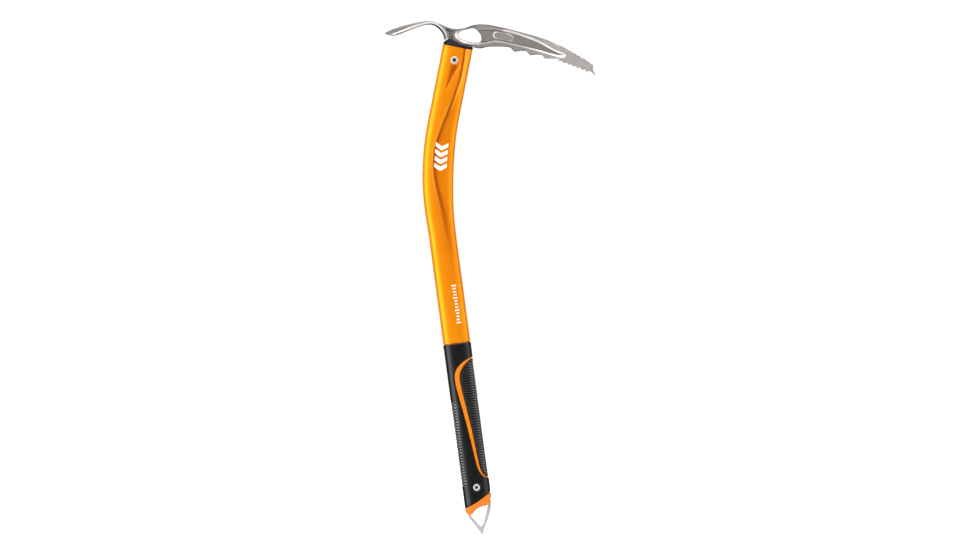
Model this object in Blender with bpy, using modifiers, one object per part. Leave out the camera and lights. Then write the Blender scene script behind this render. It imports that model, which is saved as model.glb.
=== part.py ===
"""A mountaineering ice axe, one object for each piece it comes apart into.

Metres, +Z up. The origin is the point of the spike, +Z runs up the straight grip,
+X points the way the pick does, and Y runs across the axe. Run it with
blender --background --python part.py, or from the text editor.
"""

import math

import bmesh
import bpy
from mathutils import Matrix, Vector

MM = 0.001
GAP = 0.3 * MM  # clearance between neighbouring pieces

# Shaft centre line: straight up the grip, one arc, then straight on to the head.
BEND_START = 366 * MM
BEND_RADIUS = 380 * MM
BEND_ANGLE = math.radians(18.8)
BEND_END = BEND_START + BEND_RADIUS * BEND_ANGLE
SHAFT_BOTTOM = 30 * MM
SHAFT_TOP = 572.5 * MM  # measured along the centre line

# Tube sections, as full sizes: WIDTH in the plane of the axe, DEPTH across it.
WALL = 1.3 * MM
GRIP_TUBE_WIDTH, GRIP_TUBE_DEPTH = 28.8 * MM, 19.4 * MM
LOWER_WIDTH, LOWER_DEPTH = 31.8 * MM, 22.0 * MM
MIDDLE_WIDTH, MIDDLE_DEPTH = 36.2 * MM, 20.8 * MM
UPPER_WIDTH, UPPER_DEPTH = 35.0 * MM, 20.6 * MM
OVAL_POWER = 2.5  # 2 is an ellipse, more is squarer
OVAL_POINTS = 32

# Grip.
GRIP_TOP = 225 * MM
GRIP_WIDTH, GRIP_DEPTH = 32.2 * MM, 22.8 * MM
GRIP_LIP = 0.2 * MM  # how far the top lip stands out
GRIP_LIP_HEIGHT = 4 * MM
SLANT_HEIGHT, SLANT_RISE, SLANT_CURVE = 40.2, 0.49, 0.0065  # bottom edge, in mm

# Rivets, as (x, z) in mm. Each holds the tube, the plastic inside it and a steel tang.
HEAD_RIVET_AT = (40.9, 551.5)
SPIKE_RIVET_AT = (0.6, 56.5)
SHANK_RADIUS = 2.5 * MM
HEAD_RIVET_RADIUS = 4.4 * MM
SPIKE_RIVET_RADIUS = 3.9 * MM
RIVET_HEAD_HEIGHT = 1.3 * MM
RIVET_DIMPLE_DEPTH = 0.8 * MM
RIVET_RECESS_RADIUS = 4.7 * MM  # hole in the rubber round the lower rivet

# Head, as half thicknesses.
EYE_HALF = 3.9 * MM
TIP_HALF = 2.0 * MM
WEB_HALF = 1.9 * MM
TAPER_START, TAPER_END = 76 * MM, 200 * MM  # the pick thins between these

# Spike.
SPIKE_HALF = 2.0 * MM
SPIKE_TIP_HALF = 0.5 * MM  # the point ends in a small flat, as wide as it is thick
SPIKE_BEVEL_HEIGHT = 11 * MM

# Handles of an outline's points: S is passed smoothly, C is a corner.
S, C = "AUTO", "VECTOR"


# ---------------------------------------------------------------- helpers


def clear_scene():
    for item in list(bpy.data.objects):
        bpy.data.objects.remove(item, do_unlink=True)


def new_collection(name):
    collection = bpy.data.collections.new(name)
    bpy.context.scene.collection.children.link(collection)
    return collection


def material(name, colour, roughness, metallic):
    made = bpy.data.materials.new(name)
    made.use_nodes = True
    shader = made.node_tree.nodes["Principled BSDF"]
    shader.inputs["Base Color"].default_value = (*colour, 1)
    shader.inputs["Roughness"].default_value = roughness
    shader.inputs["Metallic"].default_value = metallic
    return made


def add_piece(name, mesh, finish):
    piece = bpy.data.objects.new(name, mesh)
    piece.data.materials.clear()
    piece.data.materials.append(finish)
    PARTS.objects.link(piece)
    piece.data.shade_smooth()
    piece.data.set_sharp_from_angle(angle=math.radians(35))
    return piece


def add_cutter(name, mesh):
    cutter = bpy.data.objects.new(name, mesh)
    cutter.hide_render = True
    cutter.display_type = "WIRE"
    CUTTERS.objects.link(cutter)
    return cutter


def combine(piece, cutter, operation="DIFFERENCE"):
    boolean = piece.modifiers.new(cutter.name, "BOOLEAN")
    boolean.operation = operation
    boolean.solver = "EXACT"
    boolean.object = cutter


def outline_mesh(name, outlines, half_thickness, smoothness=4):
    """A flat plate in the XZ plane. An outline is a list of (x mm, z mm, handle)."""
    curve = bpy.data.curves.new(name, "CURVE")
    curve.dimensions = "2D"
    curve.fill_mode = "BOTH"
    curve.extrude = half_thickness
    curve.resolution_u = smoothness
    for outline in outlines:
        spline = curve.splines.new("BEZIER")
        spline.use_cyclic_u = True
        spline.bezier_points.add(len(outline) - 1)
        for point, (x, z, _) in zip(spline.bezier_points, outline):
            point.co = (x * MM, z * MM, 0)
        for point, (_, _, handle) in zip(spline.bezier_points, outline):
            point.handle_left_type = handle
            point.handle_right_type = handle
    return mesh_from_curve(name, curve, Matrix.Rotation(math.radians(90), 4, "X"))


def mesh_from_curve(name, curve, turn):
    """The curve's evaluated mesh, turned into place, with its caps welded on."""
    holder = bpy.data.objects.new(name, curve)
    CUTTERS.objects.link(holder)
    graph = bpy.context.evaluated_depsgraph_get()
    mesh = bpy.data.meshes.new_from_object(holder.evaluated_get(graph))
    bpy.data.objects.remove(holder)
    mesh.name = name
    mesh.transform(turn)
    work = bmesh.new()
    work.from_mesh(mesh)
    bmesh.ops.remove_doubles(work, verts=work.verts, dist=0.01 * MM)
    bmesh.ops.dissolve_limit(
        work, angle_limit=math.radians(0.2), verts=work.verts, edges=work.edges
    )
    bmesh.ops.recalc_face_normals(work, faces=work.faces)
    work.to_mesh(mesh)
    work.free()
    return mesh


def loft_mesh(name, rings, capped=True):
    """A skin through rings of equal length, closed at both ends if it is capped."""
    work = bmesh.new()
    rows = [[work.verts.new(point) for point in ring] for ring in rings]
    count = len(rows[0])
    for low, high in zip(rows, rows[1:]):
        for i in range(count):
            j = (i + 1) % count
            work.faces.new((low[i], low[j], high[j], high[i]))
    if capped:
        work.faces.new(list(reversed(rows[0])))
        work.faces.new(rows[-1])
    bmesh.ops.recalc_face_normals(work, faces=work.faces)
    mesh = bpy.data.meshes.new(name)
    work.to_mesh(mesh)
    work.free()
    return mesh


def pin_mesh(name, centre_mm, radius, half_length, segments=24):
    """A cylinder across the axe, with its middle at (x, z) in mm."""
    work = bmesh.new()
    bmesh.ops.create_cone(
        work,
        cap_ends=True,
        segments=segments,
        radius1=radius,
        radius2=radius,
        depth=2 * half_length,
        matrix=Matrix.Rotation(math.radians(90), 4, "X"),
    )
    bmesh.ops.translate(
        work, verts=work.verts, vec=(centre_mm[0] * MM, 0, centre_mm[1] * MM)
    )
    mesh = bpy.data.meshes.new(name)
    work.to_mesh(mesh)
    work.free()
    return mesh


# ---------------------------------------------------------------- geometry rules


def ease(value, low, high):
    """0 below low, 1 above high, smooth between them."""
    share = min(1, max(0, (value - low) / (high - low)))
    return share * share * (3 - 2 * share)


def blend(low, high, share):
    return low + (high - low) * share


def centre_line(along):
    """(point, direction up the shaft, direction across it to the pick's side)."""
    turned = min(BEND_ANGLE, max(0, (along - BEND_START) / BEND_RADIUS))
    point = Vector(
        (
            BEND_RADIUS * (1 - math.cos(turned)),
            0,
            min(along, BEND_START) + BEND_RADIUS * math.sin(turned),
        )
    )
    up = Vector((math.sin(turned), 0, math.cos(turned)))
    across = Vector((math.cos(turned), 0, -math.sin(turned)))
    return point + up * max(0, along - BEND_END), up, across


def at_top(across, above):
    """(x, z) in mm of a point near the shaft's top cut, given in mm from its middle."""
    point, up, side = centre_line(SHAFT_TOP)
    place = point / MM + up * above + side * across
    return place.x, place.z


def tube_size(along):
    """Outer width and depth of the tube above the grip."""
    widening = ease(along, 345 * MM, 425 * MM)
    settling = ease(along, 440 * MM, 500 * MM)
    width = blend(LOWER_WIDTH, MIDDLE_WIDTH, widening)
    depth = blend(LOWER_DEPTH, MIDDLE_DEPTH, widening)
    return (
        blend(width, UPPER_WIDTH, settling),
        blend(depth, UPPER_DEPTH, settling),
    )


def oval(width, depth):
    """Points (across, y) round a squared oval of the given full sizes."""
    points = []
    for i in range(OVAL_POINTS):
        angle = 2 * math.pi * i / OVAL_POINTS
        cosine, sine = math.cos(angle), math.sin(angle)
        power = 2 / OVAL_POWER
        points.append(
            (
                width / 2 * math.copysign(abs(cosine) ** power, cosine),
                depth / 2 * math.copysign(abs(sine) ** power, sine),
            )
        )
    return points


def ring_on_shaft(along, width, depth):
    point, _, side = centre_line(along)
    return [
        point + side * across + Vector((0, y, 0)) for across, y in oval(width, depth)
    ]


def slanted_height(x_mm, below_mm=0):
    """Height in mm of the grip's slanted bottom edge at x, or of a line below it."""
    return SLANT_HEIGHT + SLANT_RISE * x_mm + SLANT_CURVE * x_mm**2 - below_mm


def slanted_ring(width, depth, below_mm):
    """An oval ring round the lower end that follows the grip's slanted edge."""
    return [
        Vector((x, y, slanted_height(x / MM, below_mm) * MM))
        for x, y in oval(width, depth)
    ]


def under_slant(name, below_mm):
    """A cutter for everything under the grip's slanted edge, or a line below it."""
    top = [(x, slanted_height(x, below_mm), C) for x in range(-20, 21, 4)]
    return add_cutter(name, outline_mesh(name, [[*top, (20, 0, C), (-20, 0, C)]], 20 * MM))


# ---------------------------------------------------------------- shaft


def make_shaft(finish):
    stations = [BEND_START + i * (BEND_END - BEND_START) / 8 for i in range(9)]
    stations = [240 * MM, 345 * MM, *stations, 515 * MM, 545 * MM, SHAFT_TOP]
    swage = GRIP_TOP + 1.3 * MM
    rings = [
        ring_on_shaft(SHAFT_BOTTOM, GRIP_TUBE_WIDTH, GRIP_TUBE_DEPTH),
        ring_on_shaft(GRIP_TOP + GAP, GRIP_TUBE_WIDTH, GRIP_TUBE_DEPTH),
        ring_on_shaft(swage, LOWER_WIDTH, LOWER_DEPTH),
    ]
    rings += [ring_on_shaft(along, *tube_size(along)) for along in stations]
    shaft = add_piece("shaft", loft_mesh("shaft", rings, capped=False), finish)
    wall = shaft.modifiers.new("wall", "SOLIDIFY")
    wall.thickness = WALL
    wall.offset = -1
    wall.use_even_offset = True
    combine(shaft, under_slant("shaft_end_cut", -GAP / MM))
    hole = SHANK_RADIUS + GAP
    for name, place in (("head", HEAD_RIVET_AT), ("spike", SPIKE_RIVET_AT)):
        cutter = f"shaft_{name}_rivet_hole"
        combine(shaft, add_cutter(cutter, pin_mesh(cutter, place, hole, 30 * MM)))


# ---------------------------------------------------------------- head

# Fine teeth under the pick's end: the point nearest the tip, the step from each
# point to the next, and the step from a point back into the metal.
FINE_TEETH = 7
FIRST_TOOTH = (191.2, 517.9)
TOOTH_STEP = (-4.95, 2.68)
TOOTH_ROOT = (-1.9, 3.2)

# The head's underside over the shaft's end, as (across, above) the cut, in mm.
SHOULDER = ((19.0, 3.4), (16.6, 4.6), (9.4, 3.7), (1.9, 4.8), (-6.0, 7.1), (-11.7, 9.2))
TANG_HALF_WIDTH = 8.5
TANG_LENGTH = 36


def head_outline():
    top = [
        (20.0, 597.6, C),
        (22.0, 599.0, C),
        (27.0, 596.9, S),
        (35.9, 591.5, S),
        (45.0, 587.6, S),
        (54.7, 586.7, S),
        (69.5, 589.1, S),
        (80.6, 588.1, S),
        (96.8, 583.2, S),
        (119.8, 574.1, S),
        (148.2, 561.6, S),
        (167.7, 549.9, S),
    ]
    notches = [
        (177.9, 542.4, C),
        (179.4, 540.6, C),
        (181.0, 540.9, C),
        (182.9, 538.0, C),
        (185.3, 537.6, C),
        (186.8, 534.6, C),
        (189.1, 534.4, C),
    ]
    point = [
        (199.7, 524.3, C),
        (199.1, 519.5, S),
        (200.7, 512.0, C),
        (195.0, 518.4, C),
    ]
    fine = []
    for tooth in range(FINE_TEETH):
        x = FIRST_TOOTH[0] + tooth * TOOTH_STEP[0]
        z = FIRST_TOOTH[1] + tooth * TOOTH_STEP[1]
        fine += [(x, z, C), (x + TOOTH_ROOT[0], z + TOOTH_ROOT[1], C)]
    coarse = [
        (148.3, 539.3, S),
        (145.2, 539.6, C),
        (142.7, 544.0, C),
        (137.8, 545.2, S),
        (128.7, 545.7, C),
        (124.6, 551.2, C),
        (119.3, 552.1, S),
        (111.5, 551.9, C),
        (107.0, 557.7, C),
        (100.9, 559.4, S),
        (91.3, 560.8, S),
        (81.8, 561.9, S),
        (72.0, 561.2, S),
    ]
    # The tang leaves the underside between two of the shoulder's corners.
    corner = [(*at_top(*place), C) for place in SHOULDER]
    tang = [
        (*at_top(TANG_HALF_WIDTH, 4.0), C),
        (*at_top(TANG_HALF_WIDTH, -TANG_LENGTH), C),
        (*at_top(-TANG_HALF_WIDTH, -TANG_LENGTH), C),
        (*at_top(-TANG_HALF_WIDTH, 8.0), C),
    ]
    throat = [(35.2, 577.5, C), (34.0, 583.0, S), (30.6, 589.2, S), (25.0, 594.3, S)]
    return [*top, *notches, *point, *fine, *coarse, *corner[:3], *tang, corner[5], *throat]


HEAD_EYE = [
    (48.7, 579.6, S),
    (50.8, 583.1, S),
    (61.7, 585.2, S),
    (68.0, 585.3, S),
    (72.5, 580.8, S),
    (75.3, 573.8, S),
    (72.9, 568.7, S),
    (66.0, 568.9, S),
    (57.5, 571.9, S),
]

PICK_WEB = [
    (76.6, 580.6, S),
    (84.4, 581.2, S),
    (103.2, 576.2, S),
    (121.6, 568.6, S),
    (139.7, 559.0, S),
    (154.3, 550.1, S),
    (165.6, 540.9, S),
    (160.0, 543.2, S),
    (138.8, 552.4, S),
    (111.0, 562.5, S),
    (92.3, 568.1, S),
    (79.0, 569.8, S),
    (77.3, 574.5, S),
]

ADZE_WEB = [
    (38.6, 580.5, C),
    (37.6, 585.5, S),
    (34.0, 590.4, C),
    (37.5, 588.3, S),
    (44.5, 584.9, C),
    (42.5, 581.5, S),
    (42.6, 578.0, C),
]

# The adze from the throat to its edge: (x, z, half width, crown, thickness, sweep)
# in mm. Crown is how far the sides drop, sweep how far the corners lag behind.
ADZE_STATIONS = (
    (33.9, 577.0, 4.6, 0.0, 3.0, 0.0),
    (33.2, 583.0, 5.0, 0.0, 3.2, 0.0),
    (30.3, 589.2, 5.8, 0.2, 3.4, 0.0),
    (25.2, 595.2, 7.0, 0.6, 3.4, 0.0),
    (18.5, 599.2, 8.6, 1.4, 3.0, 0.0),
    (9.2, 599.9, 12.6, 2.2, 2.6, 0.5),
    (-0.3, 599.3, 17.2, 3.2, 2.4, 1.0),
    (-9.7, 598.3, 21.4, 4.2, 2.3, 2.0),
    (-18.8, 597.0, 24.6, 5.2, 2.2, 3.4),
    (-27.0, 595.4, 26.0, 5.8, 2.0, 5.4),
    (-32.2, 593.9, 24.8, 5.4, 1.6, 7.0),
    (-35.4, 593.2, 20.0, 3.6, 0.7, 5.4),
)


def adze_mesh():
    """A crowned blade lofted along its middle line, thinning to its edge."""
    half_count = 6
    rings = []
    for i, (x, z, half, crown, thick, sweep) in enumerate(ADZE_STATIONS):
        before = ADZE_STATIONS[max(0, i - 1)]
        after = ADZE_STATIONS[min(len(ADZE_STATIONS) - 1, i + 1)]
        along = Vector((after[0] - before[0], 0, after[1] - before[1])).normalized()
        outward = Vector((along.z, 0, -along.x))
        upper, lower = [], []
        for j in range(-half_count, half_count + 1):
            share = j / half_count
            place = Vector((x, half * share, z)) - along * sweep * share**2
            place -= outward * crown * share**2
            upper.append((place + outward * thick / 2) * MM)
            lower.append((place - outward * thick / 2) * MM)
        rings.append(upper + list(reversed(lower)))
    return loft_mesh("adze", rings)


def mirrored_across(mesh):
    """Adds to the mesh its own mirror image across the plane of the axe."""
    work = bmesh.new()
    work.from_mesh(mesh)
    copy = bmesh.ops.duplicate(work, geom=[*work.verts, *work.edges, *work.faces])
    for item in copy["geom"]:
        if isinstance(item, bmesh.types.BMVert):
            item.co.y = -item.co.y
    bmesh.ops.recalc_face_normals(work, faces=work.faces)
    work.to_mesh(mesh)
    work.free()
    return mesh


def pocket_cutter(name, outline, floor):
    """Two prisms, from the floor of a pocket out past each side of the head."""
    half = 5 * MM
    mesh = outline_mesh(name, [outline], half)
    mesh.transform(Matrix.Translation((0, floor + half, 0)))
    return add_cutter(name, mirrored_across(mesh))


def thin_towards_tip(mesh):
    """Tapers the pick's thickness from the eye to its point."""
    work = bmesh.new()
    work.from_mesh(mesh)
    bmesh.ops.bisect_plane(
        work,
        geom=[*work.verts, *work.edges, *work.faces],
        dist=0.01 * MM,
        plane_co=(TAPER_START, 0, 0),
        plane_no=(1, 0, 0),
    )
    for vert in work.verts:
        share = (vert.co.x - TAPER_START) / (TAPER_END - TAPER_START)
        vert.co.y *= blend(1, TIP_HALF / EYE_HALF, max(0, share))
    work.to_mesh(mesh)
    work.free()


def make_head(finish):
    mesh = outline_mesh("head", [head_outline(), HEAD_EYE], EYE_HALF, 3)
    thin_towards_tip(mesh)
    head = add_piece("head", mesh, finish)
    combine(head, add_cutter("adze", adze_mesh()), "UNION")
    combine(head, pocket_cutter("pick_web", PICK_WEB, WEB_HALF))
    combine(head, pocket_cutter("adze_web", ADZE_WEB, WEB_HALF))
    hole = pin_mesh("head_rivet_hole", HEAD_RIVET_AT, SHANK_RADIUS + GAP, 30 * MM)
    combine(head, add_cutter("head_rivet_hole", hole))


# ---------------------------------------------------------------- head insert

INSERT_LENGTH = 30 * MM  # how far the plastic goes down inside the tube


def make_head_insert(finish):
    """A plug in the tube's end with a domed rim, slotted for the head's tang."""
    inner_width = UPPER_WIDTH - 2 * WALL - 2 * GAP
    inner_depth = UPPER_DEPTH - 2 * WALL - 2 * GAP
    rings = [
        ring_on_shaft(SHAFT_TOP - INSERT_LENGTH, inner_width, inner_depth),
        ring_on_shaft(SHAFT_TOP + GAP, inner_width, inner_depth),
    ]
    for above, width, depth in (
        (0.3, 35.0, 20.6),
        (2.0, 34.6, 19.8),
        (4.0, 33.4, 16.8),
        (6.5, 30.6, 13.0),
        (12.0, 26.0, 10.4),
    ):
        rings.append(ring_on_shaft(SHAFT_TOP + above * MM, width * MM, depth * MM))
    insert = add_piece("head_insert", loft_mesh("head_insert", rings), finish)
    gap = GAP / MM + 0.05
    under_head = [(*at_top(across, above - gap), C) for across, above in SHOULDER]
    left = [(*at_top(-14.6, 5.0), C), (*at_top(-22, 2.4), C)]
    above = [(*at_top(-22, 30), C), (*at_top(22, 30), C), (*at_top(22, 2.6), C)]
    trim = outline_mesh("insert_top_cut", [[*under_head, *left, *above]], 20 * MM)
    combine(insert, add_cutter("insert_top_cut", trim))
    half = TANG_HALF_WIDTH + GAP / MM
    corners = ((half, -60), (half, 30), (-half, 30), (-half, -60))
    slot = [(*at_top(across, above), C) for across, above in corners]
    slot_mesh = outline_mesh("tang_slot", [slot], EYE_HALF + GAP)
    combine(insert, add_cutter("tang_slot", slot_mesh))
    hole = pin_mesh("insert_rivet_hole", HEAD_RIVET_AT, SHANK_RADIUS + GAP, 30 * MM)
    combine(insert, add_cutter("insert_rivet_hole", hole))


# ---------------------------------------------------------------- rivets


def make_rivet(name, place, radius, seat, dimple, finish):
    """A turned rivet: a shank with a dimpled head at each end, seated on the tube."""
    top = seat + RIVET_HEAD_HEIGHT
    upper = [
        (0, top - RIVET_DIMPLE_DEPTH),
        (dimple * 0.8, top - RIVET_DIMPLE_DEPTH),
        (dimple, top),
        (radius - 0.5 * MM, top),
        (radius, top - 0.5 * MM),
        (radius, seat),
        (SHANK_RADIUS, seat),
    ]
    profile = upper + [(across, -height) for across, height in reversed(upper)]
    work = bmesh.new()
    points = [work.verts.new((across, 0, height)) for across, height in profile]
    for first, second in zip(points, points[1:]):
        work.edges.new((first, second))
    mesh = bpy.data.meshes.new(name)
    work.to_mesh(mesh)
    work.free()
    rivet = add_piece(name, mesh, finish)
    rivet.location = (place[0] * MM, 0, place[1] * MM)
    rivet.rotation_euler.x = math.radians(90)
    turned = rivet.modifiers.new("turned", "SCREW")
    turned.angle = math.radians(360)
    turned.steps = 24
    turned.render_steps = 24
    turned.use_merge_vertices = True
    turned.merge_threshold = 0.01 * MM


# ---------------------------------------------------------------- grip

# Middle line and width of the coloured stripe, from the front edge at the top
# round the side to the front edge at the bottom: (x, z, width) in mm.
STRIPE = (
    (19.0, 207.4, 1.6),
    (12.0, 205.4, 2.4),
    (5.6, 201.7, 3.6),
    (0.2, 197.0, 5.0),
    (-3.6, 191.5, 6.0),
    (-5.1, 185.0, 6.2),
    (-4.9, 177.0, 6.1),
    (-3.2, 162.0, 5.6),
    (-0.8, 144.0, 5.0),
    (1.6, 125.0, 4.6),
    (3.6, 104.0, 4.0),
    (5.2, 87.0, 3.4),
    (7.0, 76.5, 2.8),
    (10.2, 70.0, 2.1),
    (14.2, 67.3, 1.7),
    (19.0, 67.4, 1.6),
)


def stripe_side(side, spread):
    """One edge of the stripe: side 1 is its outer edge, -1 its inner one."""
    edge = []
    for i, (x, z, width) in enumerate(STRIPE):
        before, after = STRIPE[max(0, i - 1)], STRIPE[min(len(STRIPE) - 1, i + 1)]
        along = Vector((after[0] - before[0], after[1] - before[1])).normalized()
        offset = side * (width / 2 + spread)
        edge.append((x + along.y * offset, z - along.x * offset, S))
    return edge


def grip_shell(name, finish):
    """The rubber's whole skin over the tube, before it is divided."""
    lip = GRIP_LIP * 2
    lip_start = GRIP_TOP - GRIP_LIP_HEIGHT
    rings = [
        ring_on_shaft(SHAFT_BOTTOM, GRIP_WIDTH, GRIP_DEPTH),
        ring_on_shaft(lip_start, GRIP_WIDTH, GRIP_DEPTH),
        ring_on_shaft(lip_start + 0.5 * MM, GRIP_WIDTH + lip, GRIP_DEPTH + lip),
        ring_on_shaft(GRIP_TOP, GRIP_WIDTH + lip, GRIP_DEPTH + lip),
    ]
    inner = ring_on_shaft(GRIP_TOP, GRIP_TUBE_WIDTH + 2 * GAP, GRIP_TUBE_DEPTH + 2 * GAP)
    bottom = ring_on_shaft(
        SHAFT_BOTTOM, GRIP_TUBE_WIDTH + 2 * GAP, GRIP_TUBE_DEPTH + 2 * GAP
    )
    mesh = loft_mesh(name, [*rings, inner, bottom, rings[0]], capped=False)
    work = bmesh.new()
    work.from_mesh(mesh)
    bmesh.ops.remove_doubles(work, verts=work.verts, dist=0.01 * MM)
    bmesh.ops.recalc_face_normals(work, faces=work.faces)
    work.to_mesh(mesh)
    work.free()
    return add_piece(name, mesh, finish)


def make_grip(rubber, stripe_finish):
    reach = 20 * MM
    beyond = 26  # mm, outside the grip's front

    outer = stripe_side(1, GAP / MM)
    window = outline_mesh(
        "stripe_window", [[*outer, (beyond, 60, C), (beyond, 215, C)]], reach, 2
    )
    sleeve = grip_shell("grip_sleeve", rubber)
    combine(sleeve, under_slant("sleeve_end_cut", 0))
    combine(sleeve, add_cutter("stripe_window", window))
    recess = pin_mesh("rivet_recess", SPIKE_RIVET_AT, RIVET_RECESS_RADIUS, 30 * MM)
    combine(sleeve, add_cutter("rivet_recess", recess))

    band = outline_mesh(
        "stripe_band",
        [
            [*stripe_side(1, 0), (beyond, 60, C), (beyond, 215, C)],
            [*stripe_side(-1, 0), (beyond - 3, 75, C), (beyond - 3, 200, C)],
        ],
        reach,
        2,
    )
    stripe = grip_shell("grip_stripe", stripe_finish)
    combine(stripe, add_cutter("stripe_band", band), "INTERSECT")

    inner = [*stripe_side(-1, GAP / MM), (beyond, 75, C), (beyond, 200, C)]
    pad = grip_shell("grip_pad", rubber)
    pad_area = outline_mesh("pad_area", [inner], reach, 2)
    combine(pad, add_cutter("pad_area", pad_area), "INTERSECT")


# ---------------------------------------------------------------- end plug and spike

PLUG_TOP = 68 * MM
PLUG_LOWER_EDGE = [
    (-20.0, 30.0, C),
    (-15.4, 28.6, C),
    (-12.0, 25.9, C),
    (-8.8, 26.4, S),
    (-5.0, 29.6, S),
    (-0.3, 32.6, S),
    (4.0, 33.7, S),
    (9.3, 34.1, C),
    (12.5, 37.6, C),
    (15.4, 42.6, C),
    (20.0, 45.0, C),
    (20.0, 0.0, C),
    (-20.0, 0.0, C),
]

SPIKE_TANG_HALF_WIDTH = 9.0
SPIKE_TOP = 73.0


def spike_outline(spread):
    """The plate's outline, grown by spread mm inside the plug to give its slot."""
    half = SPIKE_TANG_HALF_WIDTH + spread
    return [
        (-SPIKE_TIP_HALF / MM, 0.0, C),
        (SPIKE_TIP_HALF / MM, 0.0, C),
        (3.1, 7.2, S),
        (7.5, 15.4, S),
        (12.2, 25.6, S),
        (14.6 + spread / 2, 33.3, S),
        (15.3 + spread, 39.4, C),
        (14.9 + spread, 41.0 + spread, C),
        (half, 42.6 + spread, C),
        (half, SPIKE_TOP + spread, C),
        (-half, SPIKE_TOP + spread, C),
        (-half, 31.4 + spread, C),
        (-14.6 - spread, 29.4 + spread, C),
        (-14.7 - spread, 26.9, C),
        (-13.1 - spread / 2, 22.2, S),
        (-9.2, 16.0, S),
        (-4.9, 8.3, S),
    ]


SPIKE_EYE = [
    (-9.9, 24.9, S),
    (-6.1, 19.2, S),
    (-2.2, 13.4, S),
    (0.2, 12.0, S),
    (2.0, 14.0, S),
    (4.8, 19.8, S),
    (8.2, 27.4, S),
    (10.4, 34.6, C),
    (9.0, 38.0, C),
    (-7.6, 29.8, C),
]


def make_end_plug(finish):
    """The tube's end plug: a body up inside, and a slanted flange round the spike."""
    inner_width = GRIP_TUBE_WIDTH - 2 * WALL - 2 * GAP
    inner_depth = GRIP_TUBE_DEPTH - 2 * WALL - 2 * GAP
    rings = [
        ring_on_shaft(PLUG_TOP, inner_width, inner_depth),
        slanted_ring(inner_width, inner_depth, 0.3),
    ]
    for below, width, depth in (
        (0.3, 32.2, 22.8),
        (2.5, 32.0, 22.2),
        (5.5, 31.6, 18.6),
        (8.5, 31.4, 13.4),
        (12.0, 31.0, 9.6),
        (18.0, 30.4, 8.4),
    ):
        rings.append(slanted_ring(width * MM, depth * MM, below))
    plug = add_piece("end_plug", loft_mesh("end_plug", rings), finish)
    edge = outline_mesh("plug_lower_cut", [PLUG_LOWER_EDGE], 20 * MM)
    combine(plug, add_cutter("plug_lower_cut", edge))
    slot = outline_mesh("spike_slot", [spike_outline(GAP / MM)], SPIKE_HALF + GAP)
    combine(plug, add_cutter("spike_slot", slot))
    hole = pin_mesh("plug_rivet_hole", SPIKE_RIVET_AT, SHANK_RADIUS + GAP, 30 * MM)
    combine(plug, add_cutter("plug_rivet_hole", hole))


def make_spike(finish):
    mesh = outline_mesh("spike", [spike_outline(0), SPIKE_EYE], SPIKE_HALF, 3)
    work = bmesh.new()
    work.from_mesh(mesh)
    bmesh.ops.bisect_plane(
        work,
        geom=[*work.verts, *work.edges, *work.faces],
        dist=0.01 * MM,
        plane_co=(0, 0, SPIKE_BEVEL_HEIGHT),
        plane_no=(0, 0, 1),
    )
    for vert in work.verts:
        share = min(1, vert.co.z / SPIKE_BEVEL_HEIGHT)
        vert.co.y *= blend(SPIKE_TIP_HALF / SPIKE_HALF, 1, share)
    work.to_mesh(mesh)
    work.free()
    spike = add_piece("spike", mesh, finish)
    hole = pin_mesh("spike_rivet_hole", SPIKE_RIVET_AT, SHANK_RADIUS + GAP, 30 * MM)
    combine(spike, add_cutter("spike_rivet_hole", hole))


# ---------------------------------------------------------------- build

clear_scene()
PARTS = new_collection("ice_axe")
CUTTERS = new_collection("cutters")

steel = material("forged_steel", (0.36, 0.35, 0.33), 0.38, 1.0)
stainless = material("stainless_steel", (0.62, 0.62, 0.60), 0.32, 1.0)
anodised = material("orange_anodised", (0.85, 0.32, 0.03), 0.35, 0.9)
rubber = material("black_rubber", (0.025, 0.025, 0.026), 0.65, 0.0)
orange_rubber = material("orange_rubber", (0.90, 0.27, 0.02), 0.55, 0.0)
orange_plastic = material("orange_plastic", (0.90, 0.27, 0.02), 0.42, 0.0)
black_plastic = material("black_plastic", (0.02, 0.02, 0.022), 0.45, 0.0)
rivet_steel = material("rivet_steel", (0.70, 0.70, 0.68), 0.30, 1.0)

make_shaft(anodised)
make_head(steel)
make_head_insert(black_plastic)
make_grip(rubber, orange_rubber)
make_end_plug(orange_plastic)
make_spike(stainless)
make_rivet(
    "head_rivet",
    HEAD_RIVET_AT,
    HEAD_RIVET_RADIUS,
    UPPER_DEPTH / 2 + GAP,
    2.3 * MM,
    rivet_steel,
)
make_rivet(
    "spike_rivet",
    SPIKE_RIVET_AT,
    SPIKE_RIVET_RADIUS,
    GRIP_TUBE_DEPTH / 2 + GAP,
    2.0 * MM,
    rivet_steel,
)
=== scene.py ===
"""The looks of the ice axe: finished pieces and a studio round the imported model.

Shapes are worked out in millimetres, in the frame of the CAD model, and written to
Blender in metres. The axe stands on the point of its spike at the origin, its pick
points to +X, and the camera looks along +Y.
"""

import math

import bmesh
import bpy
import numpy as np
from mathutils import Matrix, Vector
from mathutils.geometry import delaunay_2d_cdt
from mathutils.kdtree import KDTree


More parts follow.
